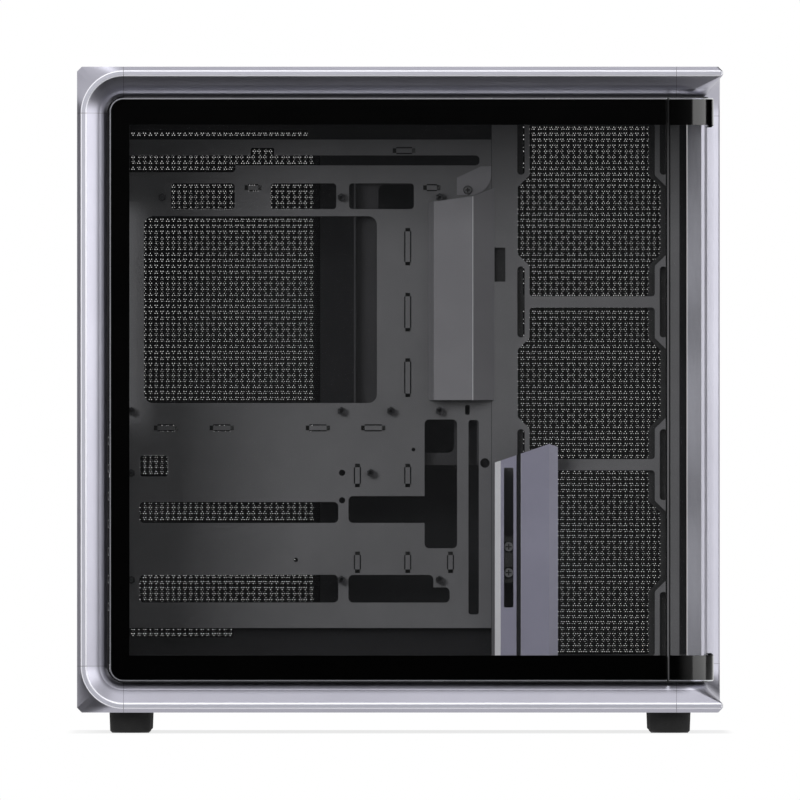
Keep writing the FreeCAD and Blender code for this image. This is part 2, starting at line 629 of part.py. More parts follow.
def deck(z0, flange_z0, flange_z1):
    """The floor or roof sheet, cut back round the frame corners, with flanges that seat the panels."""
    notch_x = CORNER_REAR_X + SEAT_GAP
    notch_y = CORNER_FAR_Y - SEAT_GAP
    bend = FRONT_SEAT_X - BEND_X
    places = [(FRONT_SEAT_X, BEND_Y), (FRONT_SEAT_X, notch_y), (SHELL_FRONT_X, notch_y),
              (SHELL_FRONT_X, FAR_SEAT_Y), (SHELL_REAR_X, FAR_SEAT_Y), (SHELL_REAR_X, SHELL_SIDE_Y),
              (notch_x, SHELL_SIDE_Y), (notch_x, SIDE_SEAT_Y), (BEND_X, BEND_Y - bend)]
    corners = [V(x, y, z0) for x, y in places]
    edges = [Part.makeLine(a, b) for a, b in zip(corners, corners[1:])]
    middle = V(BEND_X + bend * HALF_TURN, BEND_Y - bend * HALF_TURN, z0)
    edges.append(Part.Arc(corners[-1], middle, corners[0]).toShape())
    sheet = Part.Face(Part.Wire(edges)).extrude(V(0, 0, SHEET))
    flanges = [block(notch_x, SIDE_SEAT_Y, flange_z0, GLASS_SPLIT_X, SIDE_SEAT_Y + SHEET, flange_z1),
               block(FRONT_SEAT_X - SHEET, BEND_Y, flange_z0, FRONT_SEAT_X, notch_y, flange_z1),
               block(REAR_PANEL_X, FAR_SEAT_Y - SHEET, flange_z0, SHELL_FRONT_X, FAR_SEAT_Y, flange_z1)]
    return joined([sheet] + flanges).cut(stud_holes() + deck_vents(z0))


def base_plate():
    return deck(FLOOR_Z, FLOOR_Z, FLOOR_TOP + WINDOW_FLANGE)


def roof_plate():
    return deck(ROOF_UNDER, ROOF_UNDER - WINDOW_FLANGE, ROOF_Z)


def cover(sheet_z0, skirt_z0, skirt_z1):
    """A shallow pan: an outer sheet with skirts that meet the floor or the roof."""
    skirt_y = FAR_SEAT_Y - SHEET
    return joined([
        block(SHELL_REAR_X, SHELL_SIDE_Y, sheet_z0, SHELL_FRONT_X, FAR_Y, sheet_z0 + SHELL),
        block(SHELL_REAR_X, SHELL_SIDE_Y, skirt_z0, SHELL_FRONT_X, SHELL_SIDE_Y + SHELL, skirt_z1),
        block(SHELL_FRONT_X - SHELL, SHELL_SIDE_Y, skirt_z0, SHELL_FRONT_X, skirt_y, skirt_z1),
        block(SHELL_REAR_X, SHELL_SIDE_Y, skirt_z0, SHELL_REAR_X + SHELL, skirt_y, skirt_z1),
        block(SHELL_REAR_X, skirt_y - SHELL, skirt_z0, SHELL_FRONT_X, skirt_y, skirt_z1)])


def port_holes(z0, z1):
    shapes = [disc("xy", BUTTON_X, PORT_Y, BUTTON_RADIUS + SEAT_GAP, z0, z1)]
    for kind, back, length, width in PORTS:
        x = BUTTON_X - back
        radius = USB_A_CORNER if kind == "usb_a" else width / 2
        shapes.append(rounded("xy", x - length / 2, PORT_Y - width / 2, x + length / 2, PORT_Y + width / 2,
                              radius, z0, z1))
    return shapes


def top_panel():
    sheet_z0 = FRAME_TOP - SHELL
    half_x, half_y = TOP_GRILLE[0] / 2, TOP_GRILLE[1] / 2
    holes = grille("xy", (-half_x, half_x), (-half_y, half_y), sheet_z0, FRAME_TOP)
    return cover(sheet_z0, ROOF_Z, FRAME_TOP).cut(holes + port_holes(sheet_z0 - THROUGH, FRAME_TOP + THROUGH))


FILTER_LOW = FRAME_LOW + SHELL + SEAT_GAP
FILTER_TOP = FILTER_LOW + FILTER_HEIGHT


def bottom_cover():
    half_x, half_y = BOTTOM_GRILLE[0] / 2, BOTTOM_GRILLE[1] / 2
    holes = grille("xy", (-half_x, half_x), (-half_y, half_y), FRAME_LOW, FRAME_LOW + SHELL)
    mouth_y = FILTER_HALF_WIDTH + SEAT_GAP
    mouth = block(SHELL_REAR_X - THROUGH, -mouth_y, FRAME_LOW + SHELL,
                  SHELL_REAR_X + SHELL + THROUGH, mouth_y, FILTER_TOP + SEAT_GAP)
    return cover(FRAME_LOW, FRAME_LOW, FLOOR_Z).cut(holes + [mouth])


def bottom_filter():
    """A framed dust filter with ribs both ways and a pull lip at the rear."""
    rear = SHELL_REAR_X + SEAT_GAP
    front = FRONT_X - FILTER_FRONT_INSET
    plate = block(rear, -FILTER_HALF_WIDTH, FILTER_LOW, front, FILTER_HALF_WIDTH, FILTER_TOP)
    step_x = (front - rear - FILTER_PULL - FILTER_RIB) / FILTER_CELLS[0]
    step_y = (2 * FILTER_HALF_WIDTH - FILTER_RIB) / FILTER_CELLS[1]
    cells = []
    for column in range(FILTER_CELLS[0]):
        for row in range(FILTER_CELLS[1]):
            x = rear + FILTER_PULL + FILTER_RIB + column * step_x
            y = -FILTER_HALF_WIDTH + FILTER_RIB + row * step_y
            cells.append(block(x, y, FILTER_LOW - THROUGH, x + step_x - FILTER_RIB, y + step_y - FILTER_RIB,
                               FILTER_TOP + THROUGH))
    return plate.cut(cells)


def right_side_panel():
    """The steel side, with one grille behind the board and one behind the fans."""
    low = FRAME_LOW + SHELL + SEAT_GAP
    high = FRAME_TOP - SHELL - SEAT_GAP
    middle = (low + high) / 2
    heights = (middle - SIDE_GRILLE_HEIGHT / 2, middle + SIDE_GRILLE_HEIGHT / 2)
    rear = REAR_X + SIDE_GRILLE_REAR[0]
    front = SHELL_FRONT_X - SIDE_GRILLE_FRONT[0]
    holes = grille("xz", (rear, rear + SIDE_GRILLE_REAR[1]), heights, PANEL_Y, FAR_Y)
    holes += grille("xz", (front - SIDE_GRILLE_FRONT[1], front), heights, PANEL_Y, FAR_Y)
    return block(SHELL_REAR_X, PANEL_Y, low, SHELL_FRONT_X, FAR_Y, high).cut(holes)


def port_block():
    """The moulded block under the top panel that holds the button and the ports."""
    top = FRAME_TOP - SHELL
    rear = BUTTON_X - PORTS[-1][1] - PORT_BLOCK_END
    body = rounded("xy", rear, PORT_Y - PORT_BLOCK_HALF, BUTTON_X + PORT_BLOCK_END, PORT_Y + PORT_BLOCK_HALF,
                   PORT_BLOCK_RADIUS, top - PORT_BLOCK_DEPTH, top)
    return body.cut(port_holes(PORT_FLOOR, top + THROUGH))


def port_tongues():
    """The contact tongue or the barrel inside each port, standing on the port's floor."""
    shapes = []
    for kind, back, length, width in PORTS:
        x = BUTTON_X - back
        if kind == "audio":
            barrel = disc("xy", x, PORT_Y, width / 2 - SEAT_GAP, PORT_FLOOR, FRAME_TOP - SHELL)
            shapes.append(barrel.cut(disc("xy", x, PORT_Y, JACK_BORE, PORT_FLOOR, FRAME_TOP)))
        else:
            half_x, half_y = length * TONGUE_SHARE[0] / 2, width * TONGUE_SHARE[1] / 2
            shapes.append(block(x - half_x, PORT_Y - half_y, PORT_FLOOR,
                                x + half_x, PORT_Y + half_y, FRAME_TOP - 2 * SHELL))
    return Part.Compound(shapes)


def power_button():
    cap = disc("xy", BUTTON_X, PORT_Y, BUTTON_RADIUS, FRAME_TOP - BUTTON_HEIGHT, FRAME_TOP)
    return cap.makeChamfer(BUTTON_CHAMFER, end_rim(cap, V(BUTTON_X, PORT_Y, FRAME_TOP)))


# Tray and what it carries

def tray_cut(x, cut):
    rear, low, front, high, radius = cut
    return rounded("xz", x + rear, BOARD_Z + low, x + front, BOARD_Z + high, radius,
                   TRAY_Y - THROUGH, TRAY_Y + SHEET + THROUGH)


def tray_hole(x, hole):
    return disc("xz", x + hole[0], BOARD_Z + hole[1], hole[2], TRAY_Y - THROUGH, TRAY_Y + SHEET + THROUGH)


def skirt_window(length, z0, z1):
    return block(BOARD_X, SKIRT_Y - THROUGH, z0, BOARD_X + length, SKIRT_Y + SHEET + THROUGH, z1)


def hook_window(a, b, half_length, half_height):
    x, z = BOARD_X + a, BOARD_Z + b
    return block(x - half_length, TRAY_Y - THROUGH, z - half_height,
                 x + half_length, TRAY_Y + SHEET + THROUGH, z + half_height)


def hook_windows():
    """The windows under the tie hooks: a slit wider than the strip on each side, short of its feet."""
    half = HOOK_WIDTH / 2
    level = [hook_window(a, b, length / 2 - HOOK_FOOT, half) for a, b, length in LEVEL_HOOKS]
    return level + [hook_window(a, b, half, length / 2 - HOOK_FOOT) for a, b, length in UPRIGHT_HOOKS]


def motherboard_tray():
    """One folded sheet: the board face, stepped back at its top and bottom edges to the roof and floor."""
    rear, front = REAR_PANEL_X, TRAY_FRONT_X - SEAT_GAP
    section = [(TRAY_Y, TRAY_LOW), (SKIRT_Y, TRAY_LOW), (SKIRT_Y, FLOOR_TOP), (SKIRT_Y + SHEET, FLOOR_TOP),
               (SKIRT_Y + SHEET, TRAY_LOW + SHEET), (TRAY_Y + SHEET, TRAY_LOW + SHEET),
               (TRAY_Y + SHEET, TRAY_TOP - SHEET), (SKIRT_Y + SHEET, TRAY_TOP - SHEET),
               (SKIRT_Y + SHEET, ROOF_UNDER), (SKIRT_Y, ROOF_UNDER), (SKIRT_Y, TRAY_TOP), (TRAY_Y, TRAY_TOP)]
    cuts = [tray_cut(BOARD_X, cut) for cut in TRAY_CUTS.values()]
    cuts += [tray_cut(TRAY_FRONT_X, cut) for cut in EDGE_CUTS.values()]
    cuts += [tray_hole(BOARD_X, hole) for hole in TRAY_HOLES]
    cuts.append(tray_hole(TRAY_FRONT_X, EDGE_HOLE))
    cuts += hook_windows()
    cuts.append(skirt_window(SKIRT_WINDOW_TOP, TRAY_TOP + SHEET, TRAY_TOP + SHEET + SKIRT_WINDOW_HEIGHT))
    cuts.append(skirt_window(SKIRT_WINDOW_BOTTOM, TRAY_LOW - SHEET - SKIRT_WINDOW_HEIGHT, TRAY_LOW - SHEET))
    return prism("yz", section, rear, front).cut(cuts)


def tie_hook(a, b, length, upright):
    """A pressed bridge for a cable tie: a strip on two sloped feet, lying level or upright."""
    x, z = BOARD_X + a, BOARD_Z + b
    half, half_strip = length / 2, HOOK_WIDTH / 2 - HOOK_SLIT
    slope = HOOK_FOOT / HOOK_RISE
    foot = SHEET * math.hypot(1, slope)
    under, under_rise = half - foot - (HOOK_RISE - SHEET) * slope, HOOK_RISE - SHEET
    profile = [(-half, 0), (HOOK_FOOT - half, HOOK_RISE), (half - HOOK_FOOT, HOOK_RISE), (half, 0),
               (half - foot, 0), (under, under_rise), (-under, under_rise), (foot - half, 0)]
    if upright:
        corners = [(TRAY_Y - rise, z + along) for along, rise in profile]
        return prism("yz", corners, x - half_strip, x + half_strip)
    corners = [(x + along, TRAY_Y - rise) for along, rise in profile]
    return prism("xy", corners, z - half_strip, z + half_strip)


def tie_hooks():
    shapes = [tie_hook(a, b, length, False) for a, b, length in LEVEL_HOOKS]
    return Part.Compound(shapes + [tie_hook(a, b, length, True) for a, b, length in UPRIGHT_HOOKS])


def standoff_places():
    columns = (0.0, BOARD_MIDDLE_COLUMN, BOARD_FRONT_COLUMN)
    places = [(BOARD_TOP_REAR_COLUMN, BOARD_TOP_ROW)] + [(a, BOARD_TOP_ROW) for a in columns[1:]]
    places += [(a, 0.0) for a in columns] + [(a, -BOARD_BOTTOM_ROW) for a in columns]
    places += [(SPARE_MIDDLE_COLUMN, 0.0), (0.0, -BOARD_SMALL_ROW)]
    return places + [(SPARE_SMALL_COLUMN, -BOARD_SMALL_ROW)]


def standoffs():
    front = TRAY_Y - STANDOFF_HEIGHT
    shapes = []
    for a, b in standoff_places():
        body = hexagon("xz", BOARD_X + a, BOARD_Z + b, STANDOFF_FLATS / math.sqrt(3), front, TRAY_Y)
        shapes.append(body.cut(disc("xz", BOARD_X + a, BOARD_Z + b, STANDOFF_BORE, front, TRAY_Y)))
    return Part.Compound(shapes)


def fan_opening(bay, shift, y0, y1):
    """A fan opening that is wide at the fan's middle; the end bays run on towards the floor and the roof."""
    x, z = FAN_X + shift, FAN_Z + bay * FAN_PITCH
    reach = (FAN_PITCH - FAN_BAR) / 2
    low = FLOOR_TOP + FAN_END_MARGIN if bay < 0 else z - reach
    high = ROOF_UNDER - FAN_END_MARGIN if bay > 0 else z + reach
    side = [(FAN_HALF_NARROW, low), (FAN_HALF_NARROW, z - FAN_NARROW_FROM), (FAN_HALF_WIDE, z - FAN_WIDE_TO),
            (FAN_HALF_WIDE, z + FAN_WIDE_TO), (FAN_HALF_NARROW, z + FAN_NARROW_FROM), (FAN_HALF_NARROW, high)]
    outline = [(x + a, b) for a, b in side] + [(x - a, b) for a, b in reversed(side)]
    opening = prism("xz", outline, y0 - THROUGH, y1 + THROUGH)
    corners = [edge for edge in opening.Edges if edge.BoundBox.YLength > SHEET]
    return opening.makeFillet(FAN_CORNER_RADIUS, corners)


def fan_slots(y0, y1):
    slots = []
    half_width, half_length = FAN_SLOT_WIDTH / 2, FAN_SLOT_LENGTH / 2
    for x in (FAN_X - FAN_HOLE_SPACING / 2, FAN_X + FAN_HOLE_SPACING / 2):
        for number in (-1.5, -0.5, 0.5, 1.5):
            z = FAN_Z + number * FAN_PITCH
            slots.append(rounded("xz", x - half_width, z - half_length, x + half_width, z + half_length,
                                 half_width, y0 - THROUGH, y1 + THROUGH))
    return slots


def fan_panel():
    """The sheet in front of the side fans, folded back along its front edge."""
    y0, y1 = TRAY_Y, TRAY_Y + SHEET
    section = [(TRAY_FRONT_X, y0), (FAN_PANEL_X, y0), (FAN_PANEL_X, SKIRT_Y), (FAN_PANEL_X - SHEET, SKIRT_Y),
               (FAN_PANEL_X - SHEET, y1), (TRAY_FRONT_X, y1)]
    rear, low, front, high = PANEL_NOTCH
    notch = block(TRAY_FRONT_X + rear, y0 - THROUGH, BOARD_Z + low,
                  TRAY_FRONT_X + front, y1 + THROUGH, BOARD_Z + high)
    openings = [fan_opening(bay, 0.0, y0, y1) for bay in (-1, 0, 1)]
    return prism("xy", section, FLOOR_TOP, ROOF_UNDER).cut(openings + fan_slots(y0, y1) + [notch])


def fan_filter_frame():
    """The moulded frame behind the fan panel: a rim on the panel and a plate set back from it."""
    wall = FILTER_FRAME_WALL
    y0 = TRAY_Y + SHEET
    y1 = y0 + FILTER_FRAME_SETBACK
    x0, x1 = TRAY_FRONT_X + SEAT_GAP, FAN_PANEL_X - SHEET - SEAT_GAP
    z0, z1 = FLOOR_TOP + SEAT_GAP, ROOF_UNDER - SEAT_GAP
    hollow = block(x0 + wall, y0 - THROUGH, z0 + wall, x1 - wall, y1, z1 - wall)
    openings = [fan_opening(bay, FILTER_FRAME_SHIFT, y1, y1 + wall) for bay in (-1, 0, 1)]
    return block(x0, y0, z0, x1, y1 + wall, z1).cut([hollow] + openings)


def upright_edges(shape, y):
    """The edges of an upright section that stand in the plane of its front face."""
    upright = [edge for edge in shape.Edges if edge.BoundBox.ZLength > SHELL]
    return [edge for edge in upright if edge.BoundBox.YMax < y + SHELL / 2]


def cable_cover():
    """A folded hat section over the cable gap, its top edge cut on two slopes."""
    face = TRAY_Y - COVER_DEPTH
    end = TRAY_FRONT_X + COVER_LAP
    face_end = end - COVER_FRONT_SLOPE
    face_start = face_end - COVER_FACE
    start = face_start - COVER_REAR_SLOPE
    low = BOARD_Z + COVER_ABOVE_BOARD_HOLE
    outline = [(start, TRAY_Y), (face_start, face), (face_end, face), (end, TRAY_Y),
               (end - 1.5 * SHELL, TRAY_Y), (face_end - SHELL / 2, face + SHELL),
               (face_start + SHELL, face + SHELL), (start + SHELL, TRAY_Y)]
    tall = low + COVER_FRONT_HEIGHT + CORNER_SIZE
    above = [(start - THROUGH, low + COVER_REAR_HEIGHT), (face_end, low + COVER_EDGE_HEIGHT),
             (end + THROUGH, low + COVER_FRONT_HEIGHT), (end + THROUGH, tall + THROUGH),
             (start - THROUGH, tall + THROUGH)]
    hat = prism("xy", outline, low, tall)
    folds = upright_edges(hat, face)
    hat = hat.makeFillet(COVER_BEND, folds)
    return hat.cut(prism("xz", above, face - THROUGH, TRAY_Y + THROUGH))


BRACKET_X = TRAY_FRONT_X - SEAT_GAP - BRACKET_LENGTH
BRACKET_Z = BOARD_Z + COVER_ABOVE_BOARD_HOLE + COVER_EDGE_HEIGHT + BRACKET_ABOVE_COVER


def cable_cover_bracket():
    """A small plate above the cover, with a hollow curve under its front end."""
    y = TRAY_Y - SHELL
    places = [(BRACKET_FOOT, 0.0), (0.0, 0.0), (0.0, BRACKET_REAR_HEIGHT),
              (BRACKET_LENGTH - BRACKET_FLAT, BRACKET_HEIGHT), (BRACKET_LENGTH, BRACKET_HEIGHT),
              (BRACKET_LENGTH, BRACKET_HEIGHT - BRACKET_FRONT_HEIGHT)]
    corners = [V(BRACKET_X + a, y, BRACKET_Z + b) for a, b in places]
    edges = [Part.makeLine(a, b) for a, b in zip(corners, corners[1:])]
    chord = corners[0] - corners[-1]
    across = V(chord.z, 0, -chord.x).normalize()
    middle = (corners[0] + corners[-1]) * 0.5 - across * BRACKET_BULGE
    edges.append(Part.Arc(corners[-1], middle, corners[0]).toShape())
    return Part.Face(Part.Wire(edges)).extrude(V(0, SHELL, 0))


def bracket_screw():
    return screw_head("xz", BRACKET_X + BRACKET_SCREW_INSET, BRACKET_Z + BRACKET_SCREW_RISE,
                      TRAY_Y - SHELL, -1)


# Graphics card holder

SLOT_X = HOLDER_X + HOLDER_REAR_BEVEL + HOLDER_SLOT_FACE / 2
ARM_SCREWS_Z = (FLOOR_TOP + ARM_LOW_SCREW, FLOOR_TOP + ARM_LOW_SCREW + ARM_SCREW_PITCH)
ARM_PLATE_Y = HOLDER_Y + HOLDER_WALL + SEAT_GAP + SCREW_HEAD_HEIGHT


def gpu_holder_post():
    """An open channel that stands on the floor against the fan panel, slotted for the sliding arm."""
    widths = (HOLDER_REAR_BEVEL, HOLDER_SLOT_FACE, HOLDER_GROOVE, HOLDER_MAIN_FACE, HOLDER_FRONT_BEVEL)
    edges = [HOLDER_X + sum(widths[:count]) for count in range(len(widths) + 1)]
    rear, slot_face, groove, main_face, bevel, front = edges
    shoulder, bottom = HOLDER_Y + HOLDER_BEVEL_DEPTH, HOLDER_Y + HOLDER_GROOVE_DEPTH
    inner, wall = HOLDER_Y + HOLDER_WALL, HOLDER_WALL
    outline = [(rear, TRAY_Y), (rear, shoulder), (slot_face, HOLDER_Y), (groove, HOLDER_Y), (groove, bottom),
               (main_face, bottom), (main_face, HOLDER_Y), (bevel, HOLDER_Y), (front, shoulder),
               (front, TRAY_Y), (front - wall, TRAY_Y), (front - wall, shoulder + wall / 2),
               (bevel - wall / 2, inner), (slot_face + wall / 2, inner),
               (rear + wall, shoulder + wall / 2), (rear + wall, TRAY_Y)]
    tall = FLOOR_TOP + HOLDER_EDGE_HEIGHT + CORNER_SIZE
    above = [(rear - THROUGH, FLOOR_TOP + HOLDER_REAR_HEIGHT), (bevel, FLOOR_TOP + HOLDER_EDGE_HEIGHT),
             (front + THROUGH, FLOOR_TOP + HOLDER_FRONT_HEIGHT), (front + THROUGH, tall + THROUGH),
             (rear - THROUGH, tall + THROUGH)]
    slot_low = FLOOR_TOP + HOLDER_SLOT_LOW
    slot = rounded("xz", SLOT_X - HOLDER_SLOT_WIDTH / 2, slot_low, SLOT_X + HOLDER_SLOT_WIDTH / 2,
                   slot_low + HOLDER_SLOT_LENGTH, ARM_CORNER_RADIUS, HOLDER_Y - THROUGH, inner + THROUGH)
    top_cut = prism("xz", above, HOLDER_Y - THROUGH, TRAY_Y + THROUGH)
    post = prism("xy", outline, FLOOR_TOP, tall)
    post = post.makeFillet(HOLDER_EDGE_ROUND, upright_edges(post, HOLDER_Y))
    return post.cut([top_cut, slot])


def gpu_holder_arm():
    """The sliding carriage behind the slot: a plate for two screws and a key between them in the slot."""
    half = HOLDER_SLOT_WIDTH / 2 - SEAT_GAP
    low, high = ARM_SCREWS_Z[0] - ARM_END, ARM_SCREWS_Z[1] + ARM_END
    plate = block(SLOT_X - half - ARM_PLATE_LAP, ARM_PLATE_Y, low,
                  SLOT_X + half + ARM_PLATE_LAP, ARM_PLATE_Y + ARM_PLATE, high)
    clear = ARM_SCREW_RADIUS + SEAT_GAP
    key = rounded("xz", SLOT_X - half, ARM_SCREWS_Z[0] + clear, SLOT_X + half, ARM_SCREWS_Z[1] - clear,
                  ARM_CORNER_RADIUS, HOLDER_Y + ARM_RECESS, ARM_PLATE_Y)
    return joined([key, plate])


def gpu_holder_screw(z):
    return screw_head("xz", SLOT_X, z, ARM_PLATE_Y, -1, ARM_SCREW_RADIUS)


# Rear panel and rear chamber

SUPPLY_Y = (SKIRT_Y + SHEET + SUPPLY_CLEAR, FAR_SEAT_Y - SHEET - SUPPLY_EDGE)
SUPPLY_Z = (FLOOR_TOP + SUPPLY_ABOVE_FLOOR, FLOOR_TOP + SUPPLY_ABOVE_FLOOR + SUPPLY_HEIGHT)
REAR_FAN_Y = TRAY_Y - REAR_FAN_FROM_TRAY
REAR_FAN_Z = BOARD_Z + REAR_FAN_ABOVE_BOARD_HOLE
OUTSIDE_X = REAR_PANEL_X - SHEET


def slot_z(number):
    return BOARD_Z - SLOT_BELOW_BOARD_HOLE - number * SLOT_PITCH


def rear_vent(x0, x1):
    """Hexagon holes inside the rear fan's circle, and its four screw holes."""
    reach = REAR_FAN_SPACING / 2
    radius = (REAR_VENT_PITCH - REAR_VENT_WEB) / math.sqrt(3)
    ranges = [(REAR_FAN_Y - reach, REAR_FAN_Y + reach), (REAR_FAN_Z - reach, REAR_FAN_Z + reach)]
    holes = [hexagon("yz", y, z, radius, x0, x1) for y, z in hex_centres(*ranges, REAR_VENT_PITCH)
             if math.hypot(y - REAR_FAN_Y, z - REAR_FAN_Z) < reach]
    return holes + [disc("yz", y, z, REAR_FAN_HOLE, x0, x1) for y in ranges[0] for z in ranges[1]]


def rear_panel():
    """The recessed rear sheet, with a strip and a flange behind the rear edge of the side glass."""
    x0, x1 = OUTSIDE_X - THROUGH, REAR_PANEL_X + THROUGH
    low, high = CORNER_LOW + SEAT_GAP, CORNER_HIGH - SEAT_GAP
    sheet = joined([
        block(OUTSIDE_X, SHELL_SIDE_Y, FLOOR_TOP, REAR_PANEL_X, FAR_SEAT_Y - SHEET, ROOF_UNDER),
        block(OUTSIDE_X, SIDE_SEAT_Y, low, REAR_PANEL_X, SHELL_SIDE_Y, high),
        block(OUTSIDE_X, SIDE_SEAT_Y, low, CORNER_REAR_X, SIDE_SEAT_Y + SHEET, high)])
    cuts = [block(x0, TRAY_Y + IO_FROM_TRAY[0], BOARD_Z + IO_FROM_BOARD_HOLE[0],
                  x1, TRAY_Y + IO_FROM_TRAY[1], BOARD_Z + IO_FROM_BOARD_HOLE[1]),
            block(x0, SUPPLY_Y[0], SUPPLY_Z[0], x1, SUPPLY_Y[1], SUPPLY_Z[1])]
    for number in range(SLOT_COUNT):
        z = slot_z(number)
        cuts.append(block(x0, TRAY_Y + SLOT_FROM_TRAY[0], z - SLOT_HEIGHT / 2,
                          x1, TRAY_Y + SLOT_FROM_TRAY[1], z + SLOT_HEIGHT / 2))
    return sheet.cut(cuts + rear_vent(x0, x1))


def slot_cover(number):
    """A blanking strip over one card slot, with a screw tab at its near end."""
    half = SLOT_HEIGHT / 2 + SLOT_COVER_LAP
    return block(OUTSIDE_X - SHEET, TRAY_Y + SLOT_FROM_TRAY[0] - SLOT_TAB, slot_z(number) - half,
                 OUTSIDE_X, TRAY_Y + SLOT_FROM_TRAY[1] + SLOT_COVER_LAP, slot_z(number) + half)


def slot_cover_screws():
    y = TRAY_Y + SLOT_FROM_TRAY[0] - SLOT_TAB / 2
    return Part.Compound([screw_head("yz", y, slot_z(number), OUTSIDE_X - SHEET, -1)
                          for number in range(SLOT_COUNT)])


def supply_bracket():
    """The frame that a power supply bolts to, over the opening in the rear panel."""
    lap, rim = SUPPLY_FRAME_LAP, SUPPLY_FRAME_RIM
    plate = block(OUTSIDE_X - SHEET, SUPPLY_Y[0] - lap, SUPPLY_Z[0] - lap,
                  OUTSIDE_X, SUPPLY_Y[1] + lap, SUPPLY_Z[1] + lap)
    return plate.cut(block(OUTSIDE_X - SHEET - THROUGH, SUPPLY_Y[0] + rim, SUPPLY_Z[0] + rim,
                           OUTSIDE_X + THROUGH, SUPPLY_Y[1] - rim, SUPPLY_Z[1] - rim))


def supply_screws():
    inset = SUPPLY_SCREW_INSET - SUPPLY_FRAME_LAP
    return Part.Compound([screw_head("yz", y, z, OUTSIDE_X - SHEET, -1)
                          for y in (SUPPLY_Y[0] + inset, SUPPLY_Y[1] - inset)
                          for z in (SUPPLY_Z[0] + inset, SUPPLY_Z[1] - inset)])


def drive_bracket():
    """A windowed channel on the back of the tray that carries drives, open at its top and bottom."""
    y0, y1 = TRAY_Y + SHEET, TRAY_Y + SHEET + DRIVE_BRACKET_DEPTH
    x1 = TRAY_FRONT_X - DRIVE_BRACKET_FRONT
    x0 = x1 - DRIVE_BRACKET_WIDTH
    z0 = BOARD_Z - DRIVE_BRACKET_BELOW
    step = DRIVE_BRACKET_HEIGHT / DRIVE_WINDOW_COUNT
    section = [(x0, y0), (x0, y1), (x1, y1), (x1, y0), (x1 - SHELL, y0), (x1 - SHELL, y1 - SHELL),
               (x0 + SHELL, y1 - SHELL), (x0 + SHELL, y0)]
    edge = DRIVE_WINDOW_EDGE
    windows = [rounded("xz", x0 + edge, z0 + number * step + edge / 2,
                       x1 - edge, z0 + (number + 1) * step - edge / 2,
                       DRIVE_WINDOW_RADIUS, y1 - SHELL - THROUGH, y1 + THROUGH)
               for number in range(DRIVE_WINDOW_COUNT)]
    return prism("xy", section, z0, z0 + DRIVE_BRACKET_HEIGHT).cut(windows)


# Feet

def foot(x, y):
    """A round rubber foot, a little narrower and chamfered at the floor."""
    low_radius = FOOT_RADIUS - FOOT_TAPER
    profile = [(0, 0), (low_radius - FOOT_CHAMFER, 0), (low_radius, FOOT_CHAMFER), (FOOT_RADIUS, FOOT_HEIGHT),
               (0, FOOT_HEIGHT)]
    return outline_face([V(x + r, y, z) for r, z in profile]).revolve(V(x, y, 0), V(0, 0, 1), 360)


def feet_nodes():
    ends = {"rear": REAR_X + FOOT_INSET_X, "front": FRONT_X - FOOT_INSET_X}
    sides = {"near": SIDE_Y + FOOT_INSET_Y, "far": FAR_Y - FOOT_INSET_Y}
    return {f"foot_{end}_{side}": foot(x, y) for end, x in ends.items() for side, y in sides.items()}


def all_nodes():
    nodes = frame_nodes()
    nodes.update(feet_nodes())
    makers = [side_glass, front_glass, right_side_panel, stud_sockets, base_plate, roof_plate, top_panel,
              bottom_cover, bottom_filter, port_block, port_tongues, power_button, motherboard_tray,
              tie_hooks, standoffs, fan_panel, fan_filter_frame, cable_cover, cable_cover_bracket,
              bracket_screw, gpu_holder_post, gpu_holder_arm, rear_panel, slot_cover_screws,
              supply_bracket, supply_screws, drive_bracket]
    nodes.update({maker.__name__: maker() for maker in makers})
    nodes.update({"side_glass_studs": studs("side"), "front_glass_studs": studs("front"),
                  "right_panel_studs": studs("far")})
    nodes.update({f"slot_cover_{number + 1}": slot_cover(number) for number in range(SLOT_COUNT)})
    lower, upper = ARM_SCREWS_Z
    nodes["gpu_holder_screw_lower"] = gpu_holder_screw(lower)
    nodes["gpu_holder_screw_upper"] = gpu_holder_screw(upper)
    return nodes


def main():
    os.makedirs("parts", exist_ok=True)
    for name, shape in all_nodes().items():
        if not shape.isValid():
            print("not valid:", name)
        shape.exportStep(f"parts/{name}.step")
        print(name, len(shape.Solids), round(shape.Volume, 1))
    print("overall", CASE_LENGTH, CASE_WIDTH, CASE_HEIGHT)


main()
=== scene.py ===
import math

